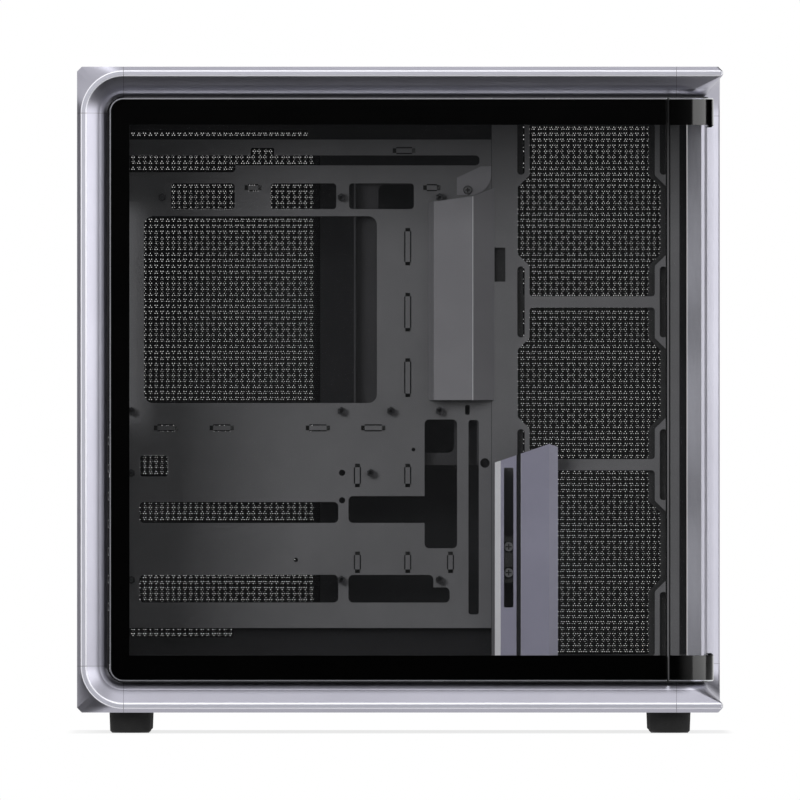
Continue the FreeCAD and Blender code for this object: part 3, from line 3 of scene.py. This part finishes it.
import bpy
import numpy as np
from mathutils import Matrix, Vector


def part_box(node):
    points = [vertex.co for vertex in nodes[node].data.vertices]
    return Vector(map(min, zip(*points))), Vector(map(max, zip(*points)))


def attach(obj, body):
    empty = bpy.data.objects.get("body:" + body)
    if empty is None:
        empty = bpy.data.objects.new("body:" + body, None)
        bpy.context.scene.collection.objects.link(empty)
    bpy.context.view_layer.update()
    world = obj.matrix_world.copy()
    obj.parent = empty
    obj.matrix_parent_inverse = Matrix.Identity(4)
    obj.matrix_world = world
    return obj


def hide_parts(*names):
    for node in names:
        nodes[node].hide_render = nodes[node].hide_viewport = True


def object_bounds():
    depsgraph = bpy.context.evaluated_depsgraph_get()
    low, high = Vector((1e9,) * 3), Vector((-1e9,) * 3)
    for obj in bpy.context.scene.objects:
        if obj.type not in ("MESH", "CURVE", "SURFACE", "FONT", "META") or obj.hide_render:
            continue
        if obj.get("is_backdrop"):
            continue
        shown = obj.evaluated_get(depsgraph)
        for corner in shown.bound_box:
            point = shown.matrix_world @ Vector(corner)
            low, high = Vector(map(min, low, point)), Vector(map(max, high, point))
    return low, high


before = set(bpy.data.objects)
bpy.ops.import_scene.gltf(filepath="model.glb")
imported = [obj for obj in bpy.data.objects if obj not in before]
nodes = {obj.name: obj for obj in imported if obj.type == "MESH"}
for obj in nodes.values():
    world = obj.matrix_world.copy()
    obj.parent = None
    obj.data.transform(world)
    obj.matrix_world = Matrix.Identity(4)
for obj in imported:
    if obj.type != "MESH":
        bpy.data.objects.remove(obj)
cadBox = [list(corner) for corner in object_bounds()]
scene = bpy.context.scene
scene.view_settings.view_transform = "Standard"
print("frame:", len(nodes), "nodes")


# Shader expressions

class Wire:  # one socket of a material: sums, products and comparisons of wires add Math nodes
    def __init__(self, tree, socket=None):
        self.tree = tree
        self.socket = socket

    def node(self, kind, settings=None, inputs=None, out=0):
        made = self.tree.nodes.new(kind)
        for name, value in (settings or {}).items():
            setattr(made, name, value)
        for name, value in (inputs or {}).items():
            if isinstance(value, Wire):
                self.tree.links.new(value.socket, made.inputs[name])
            else:
                made.inputs[name].default_value = value
        return Wire(self.tree, made.outputs[out] if len(made.outputs) else None)

    def parts(self):
        return [Wire(self.tree, socket) for socket in self.socket.node.outputs]

    def maths(self, operation, first, second):
        return self.node("ShaderNodeMath", {"operation": operation}, {0: first, 1: second})

    def __add__(self, other):
        return self.maths("ADD", self, other)

    def __radd__(self, other):
        return self.maths("ADD", other, self)

    def __sub__(self, other):
        return self.maths("SUBTRACT", self, other)

    def __rsub__(self, other):
        return self.maths("SUBTRACT", other, self)

    def __mul__(self, other):
        return self.maths("MULTIPLY", self, other)

    def __rmul__(self, other):
        return self.maths("MULTIPLY", other, self)

    def __truediv__(self, other):
        return self.maths("DIVIDE", self, other)

    def __pow__(self, other):
        return self.maths("POWER", self, other)

    def __abs__(self):
        return self.maths("ABSOLUTE", self, 0.0)

    def __or__(self, other):  # the larger of two masks
        return self.maths("MAXIMUM", self, other)

    def __and__(self, other):  # the smaller of two masks
        return self.maths("MINIMUM", self, other)

    def __gt__(self, other):
        return self.maths("GREATER_THAN", self, other)

    def __lt__(self, other):
        return self.maths("LESS_THAN", self, other)

    def within(self, low, high):  # 1 between two values, 0 outside them
        return (self > low) & (self < high)

    def fromCentre(self, pitch):  # signed distance to the nearest multiple of a pitch
        return (self.maths("FRACT", self / pitch + 0.5, 0.0) - 0.5) * pitch

    def step(self, low, high):  # 0 below low, 1 above high, smooth between
        return self.node("ShaderNodeMapRange", {"interpolation_type": "SMOOTHSTEP"},
                         {"Value": self, "From Min": low, "From Max": high})

    def noise(self, scale, detail=2.0, rough=0.5):
        return self.node("ShaderNodeTexNoise", None,
                         {"Vector": self, "Scale": scale, "Detail": detail, "Roughness": rough})

    def blend(self, first, second):  # a colour between two colours, by this value
        ends = [end if isinstance(end, Wire) else (*end, 1) for end in (first, second)]
        return self.node("ShaderNodeMix", {"data_type": "RGBA"}, {0: self, 6: ends[0], 7: ends[1]}, 2)

    def bump(self, strength, distance):
        return self.node("ShaderNodeBump", None,
                         {"Strength": strength, "Distance": distance, "Height": self})


def newFinish(name):
    material = bpy.data.materials.new(name)
    material.use_nodes = True
    material.node_tree.nodes.clear()
    tree = Wire(material.node_tree)
    return material, tree.node("ShaderNodeTexCoord", out="Object")


def closeFinish(wire, sockets):
    surface = wire.node("ShaderNodeBsdfPrincipled", None, sockets)
    wire.node("ShaderNodeOutputMaterial", None, {"Surface": surface})


def axesOf(wire):  # the x, y and z of a vector
    return wire.node("ShaderNodeSeparateXYZ", None, {0: wire}).parts()


def facing(wire):  # the three parts of the flat normal
    return axesOf(wire.node("ShaderNodeNewGeometry", out="True Normal"))


def dress(material, names):
    for name in names:
        nodes[name].data.materials.clear()
        nodes[name].data.materials.append(material)


# Finishes of the pieces that come from the solids

grainNoise = {"mottleDetail": 3.0, "grainDetail": 2.0, "broken": 0.6,
              "mottleShare": 0.6, "contrast": (0.3, 0.7), "depth": 0.0004}


def grained(name, look, layers=None):
    # colour = mottle and grain between two colours, roughness = base + spread times both, height = grain;
    # each layer is a mask with its own colour and share of metal, laid over what is below
    material, place = newFinish(name)
    mottle = place.noise(look["mottleScale"], grainNoise["mottleDetail"], grainNoise["broken"])
    grain = place.noise(look["grainScale"], grainNoise["grainDetail"], grainNoise["broken"])
    spread = look["roughSpread"]
    share = grainNoise["mottleShare"]
    mixed = (mottle * share + grain * (1 - share)).step(*grainNoise["contrast"])
    colour = mixed.blend(look["dark"], look["light"])
    metal = look["metal"]
    for mask, layerColour, layerMetal in layers(place) if layers else ():
        colour = mask.blend(colour, layerColour)
        if layerMetal != look["metal"]:
            metal = mask * layerMetal + (1 - mask) * metal
    closeFinish(place, {
        "Base Color": colour,
        "Metallic": metal,
        "Roughness": mottle * spread + grain * spread + (look["rough"] - spread),
        "Specular IOR Level": look["gloss"],
        "Normal": grain.bump(look["grainHeight"], grainNoise["depth"])})
    return material


anodised = {
    "dark": (0.42, 0.415, 0.475), "light": (0.48, 0.475, 0.54), "metal": 1.0, "gloss": 0.5,
    "rough": 0.38, "roughSpread": 0.02, "mottleScale": 9.0, "grainScale": 2600.0, "grainHeight": 0.03,
    "joint": 0.00022, "jointColour": (0.26, 0.26, 0.29),
    # edge colour and metal: a painted highlight along both edges of the front rim
    "edge": (0.00004, 0.0007), "edgeColour": (0.92, 0.92, 0.98), "edgeMetal": 0.2,
    # flat colour and metal: a painted sheen on the rim's flat face and on the flat side of the far rails
    "far": 0.1, "flat": -0.98, "flatColour": (0.54, 0.54, 0.61), "flatMetal": 0.3}


def frameLayers(place):
    # thin lines in the planes where the rails and posts end, a painted highlight as a bright band on both
    # sides of the front rim, and a painted sheen as a paler, less metallic grain on the rim itself and on the
    # flat side of the far rails
    axes = axesOf(place)
    rails = ("frame_top_side_rail", "frame_top_front_rail", "frame_rear_post")  # along x, y and z
    lines = 0.0
    for axis, rail in enumerate(rails):
        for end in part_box(rail):
            lines = (abs(axes[axis] - end[axis]) < anodised["joint"]) | lines
    depth = axes[1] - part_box("frame_top_side_rail")[0].y
    flat = (depth < anodised["edge"][0]) | (axes[1] > anodised["far"])
    flat = flat & (facing(place)[1] < anodised["flat"])
    # painted highlight on the rim's edges, painted sheen on the flat faces, then the joint lines
    return [(depth.within(*anodised["edge"]), anodised["edgeColour"], anodised["edgeMetal"]),
            (flat, anodised["flatColour"], anodised["flatMetal"]),
            (lines, anodised["jointColour"], anodised["metal"])]


trayCoat = {
    "dark": (0.105, 0.105, 0.110), "light": (0.135, 0.135, 0.142), "metal": 0.0, "gloss": 0.35,
    "rough": 0.52, "roughSpread": 0.08, "mottleScale": 11.0, "grainScale": 1700.0, "grainHeight": 0.22,
    # step colour: painted shade on the strips behind the board face
    "face": 0.0005, "stepColour": (0.005, 0.005, 0.006),
    # foot colour: painted shade on the sloped ends of the pressed bridges
    "upright": 0.9, "footColour": (0.003, 0.003, 0.003)}


def trayLayers(place):  # the strips behind the board face, above and below it, in painted shade
    behind = axesOf(place)[1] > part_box("fan_panel")[0].y + trayCoat["face"]
    return [(behind, trayCoat["stepColour"], trayCoat["metal"])]


def hookLayers(place):  # the sloped ends of each pressed bridge, in painted shade
    sloped = abs(facing(place)[1]) < trayCoat["upright"]
    return [(sloped, trayCoat["footColour"], trayCoat["metal"])]


coverCoat = {
    "dark": (0.185, 0.183, 0.196), "light": (0.220, 0.218, 0.232), "metal": 0.0, "gloss": 0.08,
    "rough": 0.45, "roughSpread": 0.04, "mottleScale": 14.0, "grainScale": 1900.0, "grainHeight": 0.18,
    # fold colour: a painted highlight along the cover's front fold
    "fold": (0.06, 0.68), "foldColour": (0.48, 0.48, 0.50)}


def coverLayers(place):  # the fold towards the front, with a painted highlight along it
    fold = facing(place)[0].within(*coverCoat["fold"])
    return [(fold, coverCoat["foldColour"], coverCoat["metal"])]


holderCoat = {
    "dark": (0.262, 0.258, 0.335), "light": (0.305, 0.300, 0.385), "metal": 0.1, "gloss": 0.5,
    "rough": 0.42, "roughSpread": 0.04, "mottleScale": 18.0, "grainScale": 2300.0, "grainHeight": 0.08,
    # bevel colour: a painted highlight on the holder's rear bevel
    "bevel": (-0.95, -0.6), "bevelColour": (0.78, 0.78, 0.82),
    # groove colour: painted shade in the groove beside the slot
    "groove": (0.0159, 0.0191), "lip": 0.0002, "grooveColour": (0.003, 0.003, 0.005), "layerMetal": 0.0}


def holderLayers(place):  # a painted highlight on the bevel of the rear edge, and painted shade in the groove beside the slot
    x, y = axesOf(place)[:2]
    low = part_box("gpu_holder_post")[0]
    bevel = facing(place)[0].within(*holderCoat["bevel"])
    groove = x.within(*(low.x + side for side in holderCoat["groove"])) & (y > low.y + holderCoat["lip"])
    return [(bevel, holderCoat["bevelColour"], holderCoat["layerMetal"]),
            (groove, holderCoat["grooveColour"], holderCoat["layerMetal"])]


holderScrew = {
    "dark": (0.10, 0.10, 0.105), "light": (0.14, 0.14, 0.145), "metal": 0.2, "gloss": 0.5,
    "rough": 0.42, "roughSpread": 0.08, "mottleScale": 90.0, "grainScale": 2000.0, "grainHeight": 0.08,
    # recess colour and metal: painted shade in the recess of the screw head
    "recess": 0.0002, "recessColour": (0.002, 0.002, 0.002), "recessMetal": 0.0}


def screwLayers(node):  # painted shade in the recess in the head, behind its front face
    def layers(place):
        deep = axesOf(place)[1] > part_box(node)[0].y + holderScrew["recess"]
        return [(deep, holderScrew["recessColour"], holderScrew["recessMetal"])]
    return layers


chassisCoat = {
    "dark": (0.030, 0.030, 0.032), "light": (0.042, 0.042, 0.045), "metal": 0.0, "gloss": 0.35,
    "rough": 0.55, "roughSpread": 0.08, "mottleScale": 11.0, "grainScale": 1700.0, "grainHeight": 0.25}
shellCoat = {
    "dark": (0.010, 0.010, 0.011), "light": (0.016, 0.016, 0.018), "metal": 0.0, "gloss": 0.3,
    "rough": 0.50, "roughSpread": 0.08, "mottleScale": 8.0, "grainScale": 2100.0, "grainHeight": 0.22}
mouldedBlack = {
    "dark": (0.012, 0.012, 0.012), "light": (0.020, 0.020, 0.021), "metal": 0.0, "gloss": 0.4,
    "rough": 0.58, "roughSpread": 0.10, "mottleScale": 25.0, "grainScale": 1400.0, "grainHeight": 0.30}
footRubber = {
    "dark": (0.008, 0.008, 0.008), "light": (0.016, 0.016, 0.016), "metal": 0.0, "gloss": 0.3,
    "rough": 0.74, "roughSpread": 0.08, "mottleScale": 40.0, "grainScale": 900.0, "grainHeight": 0.40}
contactGloss = {
    "dark": (0.010, 0.010, 0.011), "light": (0.018, 0.018, 0.019), "metal": 0.0, "gloss": 0.5,
    "rough": 0.22, "roughSpread": 0.06, "mottleScale": 60.0, "grainScale": 1200.0, "grainHeight": 0.05}
buttonMetal = {
    "dark": (0.60, 0.60, 0.65), "light": (0.70, 0.70, 0.75), "metal": 1.0, "gloss": 0.5,
    "rough": 0.28, "roughSpread": 0.06, "mottleScale": 30.0, "grainScale": 3200.0, "grainHeight": 0.08}
plated = {
    "dark": (0.42, 0.42, 0.44), "light": (0.56, 0.56, 0.58), "metal": 1.0, "gloss": 0.5,
    "rough": 0.30, "roughSpread": 0.08, "mottleScale": 120.0, "grainScale": 2400.0, "grainHeight": 0.06}
blackened = {
    "dark": (0.050, 0.050, 0.053), "light": (0.085, 0.085, 0.090), "metal": 0.9, "gloss": 0.5,
    "rough": 0.38, "roughSpread": 0.08, "mottleScale": 90.0, "grainScale": 2000.0, "grainHeight": 0.08}

slotCovers = [name for name in nodes if name.startswith("slot_cover_") and name[-1].isdigit()]
coats = {  # each finish with its look, its nodes and, where it has them, its layers
    "satinFrame": (anodised, [name for name in nodes if name.startswith("frame_")], frameLayers),
    # the tray, with painted shade on its recessed strips
    "stepShadedPowder": (trayCoat, ["motherboard_tray"], trayLayers),
    "hookPowder": (trayCoat, ["tie_hooks"], hookLayers),
    "coverPowder": (coverCoat, ["cable_cover"], coverLayers),
    "holderSatin": (holderCoat, ["gpu_holder_post"], holderLayers),
    "holderScrews": (holderScrew, ["gpu_holder_screw_lower", "gpu_holder_screw_upper"],
                     screwLayers("gpu_holder_screw_lower")),
    "bracketScrew": (holderScrew, ["bracket_screw"], screwLayers("bracket_screw")),
    "rubberFeet": (footRubber, [name for name in nodes if name.startswith("foot_")]),
    "shellPowder": (shellCoat, ["right_side_panel", "top_panel", "bottom_cover"]),
    "chassisPowder": (chassisCoat, ["base_plate", "roof_plate", "rear_panel", "supply_bracket",
                                    "drive_bracket"] + slotCovers),
    "trayPowder": (trayCoat, ["fan_panel"]),
    "bracketPowder": (coverCoat, ["cable_cover_bracket"]),
    "blackMoulding": (mouldedBlack, ["bottom_filter", "fan_filter_frame", "port_block", "stud_sockets",
                                     "gpu_holder_arm"]),
    "portContacts": (contactGloss, ["port_tongues"]),
    "buttonSatin": (buttonMetal, ["power_button"]),
    "platedSteel": (plated, ["supply_screws"] + [name for name in nodes if "studs" in name]),
    "blackSteel": (blackened, ["standoffs", "slot_cover_screws"]),
}
finishes = {}
for coatName, (look, names, *layers) in coats.items():
    finishes[coatName] = grained(coatName, look, *layers)
    dress(finishes[coatName], names)
print("finishes:", len(finishes))


# Glass with a printed black border

sideBorder = {
    "top": 0.0197, "bottom": 0.0189, "rear": 0.0145, "front": 0.0010, "soft": 0.0002,
    "radius": 0.010, "open": 0.0, "ground": 0.0008, "groundColour": (0.72, 0.73, 0.75), "mirror": 0.9,
    "clear": (0.03, 0.031, 0.033), "tint": 0.07, "ink": (0.0003, 0.0003, 0.0003),
    "rough": 0.10, "groundRough": 0.15, "smearRough": 0.04, "smear": (14.0, 3.0, 0.6), "gloss": 0.5}
frontBorder = dict(sideBorder, rear=0.0008, front=-0.01, radius=0.001, open=0.001)


def printedGlass(name, node, border):
    # inset = distance in from the sheet's outline, round at its rear corners; the rim is ground, print lies
    # beyond a line set in from each edge, and the rest is clear with a faint tint
    material, place = newFinish(name)
    x, z = axesOf(place)[::2]
    low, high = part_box(node)
    radius = border["radius"]

    def past(along, line):  # 0 before a line, 1 after it, soft across it
        return along.step(line - border["soft"], line + border["soft"])

    fromEnds = (z - low.z) & (high.z - z)
    fromRear = (x - low.x) | border["open"]
    inset = radius - (((radius - fromRear) | 0.0) ** 2.0 + ((radius - fromEnds) | 0.0) ** 2.0) ** 0.5
    ground = 1 - past(inset, border["ground"])
    printed = past(z, high.z - border["top"]) | (1 - past(z, low.z + border["bottom"]))
    printed = printed | (1 - past(x, low.x + border["rear"])) | past(x, high.x - border["front"])
    smear = place.noise(*border["smear"])
    closeFinish(place, {
        "Base Color": ground.blend(printed.blend(border["clear"], border["ink"]), border["groundColour"]),
        "Metallic": ground * border["mirror"],
        "Roughness": ground * border["groundRough"] + smear * border["smearRough"] + border["rough"],
        "Specular IOR Level": border["gloss"],
        "Alpha": (printed | ground) * (1 - border["tint"]) + border["tint"]})
    return material


dress(printedGlass("sideGlassPrint", "side_glass", sideBorder), ["side_glass"])
dress(printedGlass("frontGlassPrint", "front_glass", frontBorder), ["front_glass"])
print("glass: two printed sheets")


# Side panel sheets made from a grid of cells

def addPiece(name, points, faceGroups, material, body):
    mesh = bpy.data.meshes.new(name)
    mesh.from_pydata(points.tolist(), [], [face for group in faceGroups for face in group.tolist()])
    mesh.validate()
    mesh.materials.append(material)
    piece = bpy.data.objects.new(name, mesh)
    scene.collection.objects.link(piece)
    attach(piece, body)
    return piece


def holedSheet(xLines, zLines, holed, y, radius):
    # corners stand on the crossings of the lines; where a cell is holed, eight points stand on a circle round
    # its middle, joined to its four corners by four quads and four triangles, on both faces of the sheet
    columns, rows = len(xLines) - 1, len(zLines) - 1
    gridX, gridZ = np.meshgrid(xLines, zLines, indexing="ij")
    corners = np.stack([gridX, np.zeros_like(gridX), gridZ], -1).reshape(-1, 3)
    cellI, cellJ = np.nonzero(holed)
    turn = (np.arange(8) + 0.5) * math.pi / 4
    middleX = (xLines[cellI] + xLines[cellI + 1])[:, None] / 2
    middleZ = (zLines[cellJ] + zLines[cellJ + 1])[:, None] / 2
    rings = np.stack([middleX + radius * np.cos(turn), np.zeros((len(cellI), 8)),
                      middleZ + radius * np.sin(turn)], -1).reshape(-1, 3)
    layer = np.concatenate([corners, rings])
    points = np.concatenate([layer + (0, y[0], 0), layer + (0, y[1], 0)])
    back = len(layer)

    def corner(i, j):
        return i * (rows + 1) + j

    def cellCorners(i, j):  # the four corners of each cell, in turn round it
        return np.stack([corner(i + 1, j + 1), corner(i, j + 1), corner(i, j), corner(i + 1, j)], -1)

    square = cellCorners(cellI, cellJ)
    ring = len(corners) + np.arange(len(cellI))[:, None] * 8 + np.arange(8)
    after = np.roll(ring, -1, 1)
    quads = np.stack([square, np.roll(square, -1, 1), np.roll(ring, -2, 1)[:, ::2], ring[:, 1::2]], -1)
    wedges = np.stack([square, ring[:, 1::2], ring[:, ::2]], -1)
    walls = np.stack([ring, after, after + back, ring + back], -1)
    along, up = np.arange(columns), np.arange(rows)
    edge = np.concatenate([corner(along, 0), corner(columns, up),
                           corner(along[::-1] + 1, rows), corner(0, up[::-1] + 1)])
    rim = np.stack([edge, edge + back, np.roll(edge, -1) + back, np.roll(edge, -1)], -1)
    front = [quads.reshape(-1, 4), wedges.reshape(-1, 3), cellCorners(*np.nonzero(~holed))]
    return points, front + [group[:, ::-1] + back for group in front] + [walls.reshape(-1, 4), rim]


def cellLines(start, end, pitch):  # lines a pitch apart, as many as fit, centred between start and end
    count = int((end - start) // pitch)
    middle = (start + end) / 2
    return middle + (np.arange(count + 1) - count / 2) * pitch


sidePanel = {"pitch": 0.00425, "hole": 0.00160, "grilleLow": 0.054, "grilleHigh": 0.449,
             "rearGrille": (-0.2085, -0.063), "frontGrille": (0.0797, 0.1947)}


def sidePanelSheets(size):
    low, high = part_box("right_side_panel")
    pitch = size["pitch"]
    zLines = np.concatenate([[low.z], cellLines(size["grilleLow"], size["grilleHigh"], pitch), [high.z]])
    split = (size["rearGrille"][1] + size["frontGrille"][0]) / 2
    halves = {"side_panel_rear_mesh": (low.x, size["rearGrille"], split),
              "side_panel_front_mesh": (split, size["frontGrille"], high.x)}
    for name, (start, grille, end) in halves.items():
        xLines = np.concatenate([[start], cellLines(*grille, pitch), [end]])
        holed = np.zeros((len(xLines) - 1, len(zLines) - 1), bool)
        holed[1:-1, 1:-1] = True
        points, faces = holedSheet(xLines, zLines, holed, (low.y, high.y), size["hole"])
        piece = addPiece(name, points, faces, finishes["shellPowder"], "right_panel")
        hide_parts("right_side_panel")
        print("side panel:", name, int(holed.sum()), "holes")


sidePanelSheets(sidePanel)


# Dust mesh behind the grilles

dustMesh = {
    "pitch": 0.00171, "hole": 0.00031, "holeSoft": 0.08, "gap": 0.00006, "thick": 0.00014, "margin": 0.004,
    "topGrille": (0.190, 0.0725), "shell": 0.0012,
    "filterPull": 0.026, "filterRim": 0.002, "filterGap": 0.00002,
    "dark": (0.001, 0.001, 0.001), "light": (0.003, 0.003, 0.003), "colourScale": 300.0,
    "rough": 0.6, "roughSpread": 0.2, "roughScale": 900.0, "gloss": 0.2}


def dustMeshFinish(name, size, across):
    # distance to the nearest point of two rectangular lattices that interleave into a hexagonal one, along x
    # and the axis across it; alpha = 0 inside the hole radius
    material, place = newFinish(name)
    axes = axesOf(place)
    x, z = axes[0], axes[across]
    pitch, rise = size["pitch"], size["pitch"] * math.sqrt(3)
    straight = x.fromCentre(pitch) ** 2.0 + z.fromCentre(rise) ** 2.0
    staggered = (x + pitch / 2).fromCentre(pitch) ** 2.0 + (z + rise / 2).fromCentre(rise) ** 2.0
    away = (straight & staggered) ** 0.5
    closeFinish(place, {
        "Base Color": place.noise(size["colourScale"]).blend(size["dark"], size["light"]),
        "Roughness": place.noise(size["roughScale"]) * size["roughSpread"] + size["rough"],
        "Specular IOR Level": size["gloss"],
        "Alpha": away.step(size["hole"] * (1 - size["holeSoft"]), size["hole"] * (1 + size["holeSoft"]))})
    return material


def sheetBox(low, high):  # eight corners and six faces
    ends = np.array([low, high])
    corner = np.array([(i, j, k) for i in (0, 1) for j in (0, 1) for k in (0, 1)])
    points = np.stack([ends[corner[:, axis], axis] for axis in range(3)], -1)
    faces = np.array([(0, 1, 3, 2), (4, 6, 7, 5), (0, 4, 5, 1), (2, 3, 7, 6), (0, 2, 6, 4), (1, 5, 7, 3)])
    return points, [faces]


def dustMeshSheets(size):
    upright = dustMeshFinish("dustMeshUpright", size, 2)
    level = dustMeshFinish("dustMeshLevel", size, 1)
    gap, thick, margin = size["gap"], size["thick"], size["margin"]
    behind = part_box("right_side_panel")[0].y - gap
    sheets = {}
    for name in ("rear", "front"):
        ends = sidePanel[name + "Grille"]
        sheets["dust_mesh_" + name] = (
            (ends[0] - margin, behind - thick, sidePanel["grilleLow"] - margin),
            (ends[1] + margin, behind, sidePanel["grilleHigh"] + margin), upright, "right_panel")
    halfX, halfY = (half + margin for half in size["topGrille"])
    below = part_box("top_panel")[1].z - size["shell"] - gap
    sheets["dust_mesh_top"] = ((-halfX, -halfY, below - thick), (halfX, halfY, below), level, "case")
    low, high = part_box("bottom_filter")
    rim, over = size["filterRim"], high.z + size["filterGap"]
    sheets["dust_mesh_filter"] = ((low.x + size["filterPull"], low.y + rim, over),
                                  (high.x - rim, high.y - rim, over + thick), level, "filter")
    for name, (start, end, finish, body) in sheets.items():
        points, faces = sheetBox(start, end)
        addPiece(name, points, faces, finish, body)
    print("dust mesh:", len(sheets), "sheets")


dustMeshSheets(dustMesh)


# Studio

studio = {"floorHalf": 60.0, "floorDrop": 0.0003, "floorColour": (0.9, 0.9, 0.9, 1), "floorFade": (0.0, 0.01),
          "shade": 0.2, "ambient": 0.26, "skyColour": (1, 1, 1, 1), "cardColour": (0.0, 0.0, 0.0, 1)}
cards = {  # two opposite corners of each
    "cameraSideCard": ((-0.9, -7, -1.0), (8.3, -7, 1.1)),
    "floorCard": ((-1.2, -6.9, 0.0005), (1.2, -0.16, 0.0005)),
    "leftCard": ((-3.2, -0.9, -0.5), (-3.2, 2, 3.0)),
    "rightBackCard": ((3.0, 0.5, -0.5), (3.0, 4, 3.0)),
    "topBackCard": ((-2.0, 0.2, 2.8), (2.0, 3.2, 2.8)),
}
lamps = {
    "key": {"place": (-1.3, -2.8, 1.0), "target": (0, 0, 0.25), "size": (1.2, 1.2), "watts": 66},
    "fill": {"place": (1.3, -2.8, 0.9), "target": (0, 0, 0.25), "size": (1.5, 1.5), "watts": 7},
    "overhead": {"place": (0, -1.25, 2.6), "target": (0, -1.25, 0.25), "size": (1.8, 1.1), "watts": 13,
                 "glossy": True},
    "rightBox": {"place": (2.5, -0.8, 0.72), "target": (0, -0.8, 0.72), "size": (2.4, 1.5), "watts": 22,
                 "diffuse": False, "glossy": True},
    "back": {"place": (-0.8, 2.6, 1.6), "target": (0, 0, 0.25), "size": (1.6, 1.4), "watts": 40},
}


def whiteGlow(wire, size):  # full white where the camera sees it straight, in a reflection or through glass
    rays = {ray.socket.name: ray for ray in wire.node("ShaderNodeLightPath").parts()}
    seen = rays["Is Camera Ray"] | rays["Is Glossy Ray"] | rays["Is Transmission Ray"]
    return seen * (1 - size["ambient"]) + size["ambient"]


def stageSheet(name, low, high, material):  # a rectangle across two axes, between two opposite corners
    ends = np.array([low, high], float)
    wide, tall = np.nonzero(ends[0] != ends[1])[0]
    corners = np.repeat(ends[:1], 4, 0)
    corners[1:3, wide] = ends[1, wide]
    corners[2:, tall] = ends[1, tall]
    mesh = bpy.data.meshes.new(name)
    mesh.from_pydata(corners.tolist(), [], [(0, 1, 2, 3)])
    mesh.materials.append(material)
    sheet = bpy.data.objects.new(name, mesh)
    scene.collection.objects.link(sheet)
    sheet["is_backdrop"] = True
    return sheet


def studioFloor(size):
    # a diffuse floor under the object that fades with distance from its footprint into plain white
    material, place = newFinish("paleFloor")
    low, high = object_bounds()
    x, y = axesOf(place)[:2]
    besideX = (low[0] - x) | (x - high[0]) | 0.0
    besideY = (low[1] - y) | (y - high[1]) | 0.0
    fade = ((besideX ** 2.0 + besideY ** 2.0) ** 0.5).step(*size["floorFade"])
    fade = fade * size["shade"] + (1 - size["shade"])
    matte = place.node("ShaderNodeBsdfDiffuse", None, {"Color": size["floorColour"]})
    white = place.node("ShaderNodeEmission", None, {"Strength": whiteGlow(place, size)})
    mixed = place.node("ShaderNodeMixShader", None, {0: fade, 1: matte, 2: white})
    place.node("ShaderNodeOutputMaterial", None, {"Surface": mixed})
    half, drop = size["floorHalf"], size["floorDrop"]
    stageSheet("floor", (-half, -half, -drop), (half, half, -drop), material)


def studioWorld(size):
    world = bpy.data.worlds.new("studio")
    world.use_nodes = True
    world.node_tree.nodes.clear()
    tree = Wire(world.node_tree)
    sky = tree.node("ShaderNodeBackground", None,
                    {"Color": size["skyColour"], "Strength": whiteGlow(tree, size)})
    tree.node("ShaderNodeOutputWorld", None, {"Surface": sky})
    scene.world = world


def blackCard(name, low, high):  # a card that only reflections see
    material, place = newFinish(name)
    dark = place.node("ShaderNodeBsdfDiffuse", None, {"Color": studio["cardColour"]})
    place.node("ShaderNodeOutputMaterial", None, {"Surface": dark})
    sheet = stageSheet(name, low, high, material)
    for ray in ("camera", "diffuse", "transmission", "volume_scatter", "shadow"):
        setattr(sheet, "visible_" + ray, False)


def areaLamp(name, place, target, size, watts, diffuse=True, glossy=False):
    data = bpy.data.lights.new(name, "AREA")
    data.shape = "RECTANGLE"
    data.size, data.size_y = size
    data.energy = watts
    light = bpy.data.objects.new(name, data)
    light.location = place
    towards = np.array(target) - np.array(place)
    light.rotation_euler = (math.atan2(math.hypot(towards[0], towards[1]), -towards[2]), 0,
                            math.atan2(towards[0], -towards[1]) + math.pi)
    light.visible_camera = False
    light.visible_diffuse = diffuse
    light.visible_glossy = glossy
    scene.collection.objects.link(light)


studioFloor(studio)
studioWorld(studio)
for cardName, opposite in cards.items():
    blackCard(cardName, *opposite)
for lampName, setting in lamps.items():
    areaLamp(lampName, **setting)
print("studio: floor, world,", len(lamps), "lamps,", len(cards), "cards")


# Camera

view = {"lens": 1700.0, "sensor": 36.0, "wide": 0.5858, "height": 0.2439, "clipEnd": 200.0}


def photoCamera(size):  # as far before the front as the lens needs to take in the width there
    data = bpy.data.cameras.new("photoView")
    data.lens = size["lens"]
    data.sensor_width = size["sensor"]
    data.clip_end = size["clipEnd"]
    eye = bpy.data.objects.new("photoView", data)
    near = cadBox[0][1]
    eye.location = (0.0, near - size["wide"] * size["lens"] / size["sensor"], size["height"])
    eye.rotation_euler = (math.pi / 2, 0, 0)
    scene.collection.objects.link(eye)
    scene.camera = eye


photoCamera(view)
print("camera and sizes done")
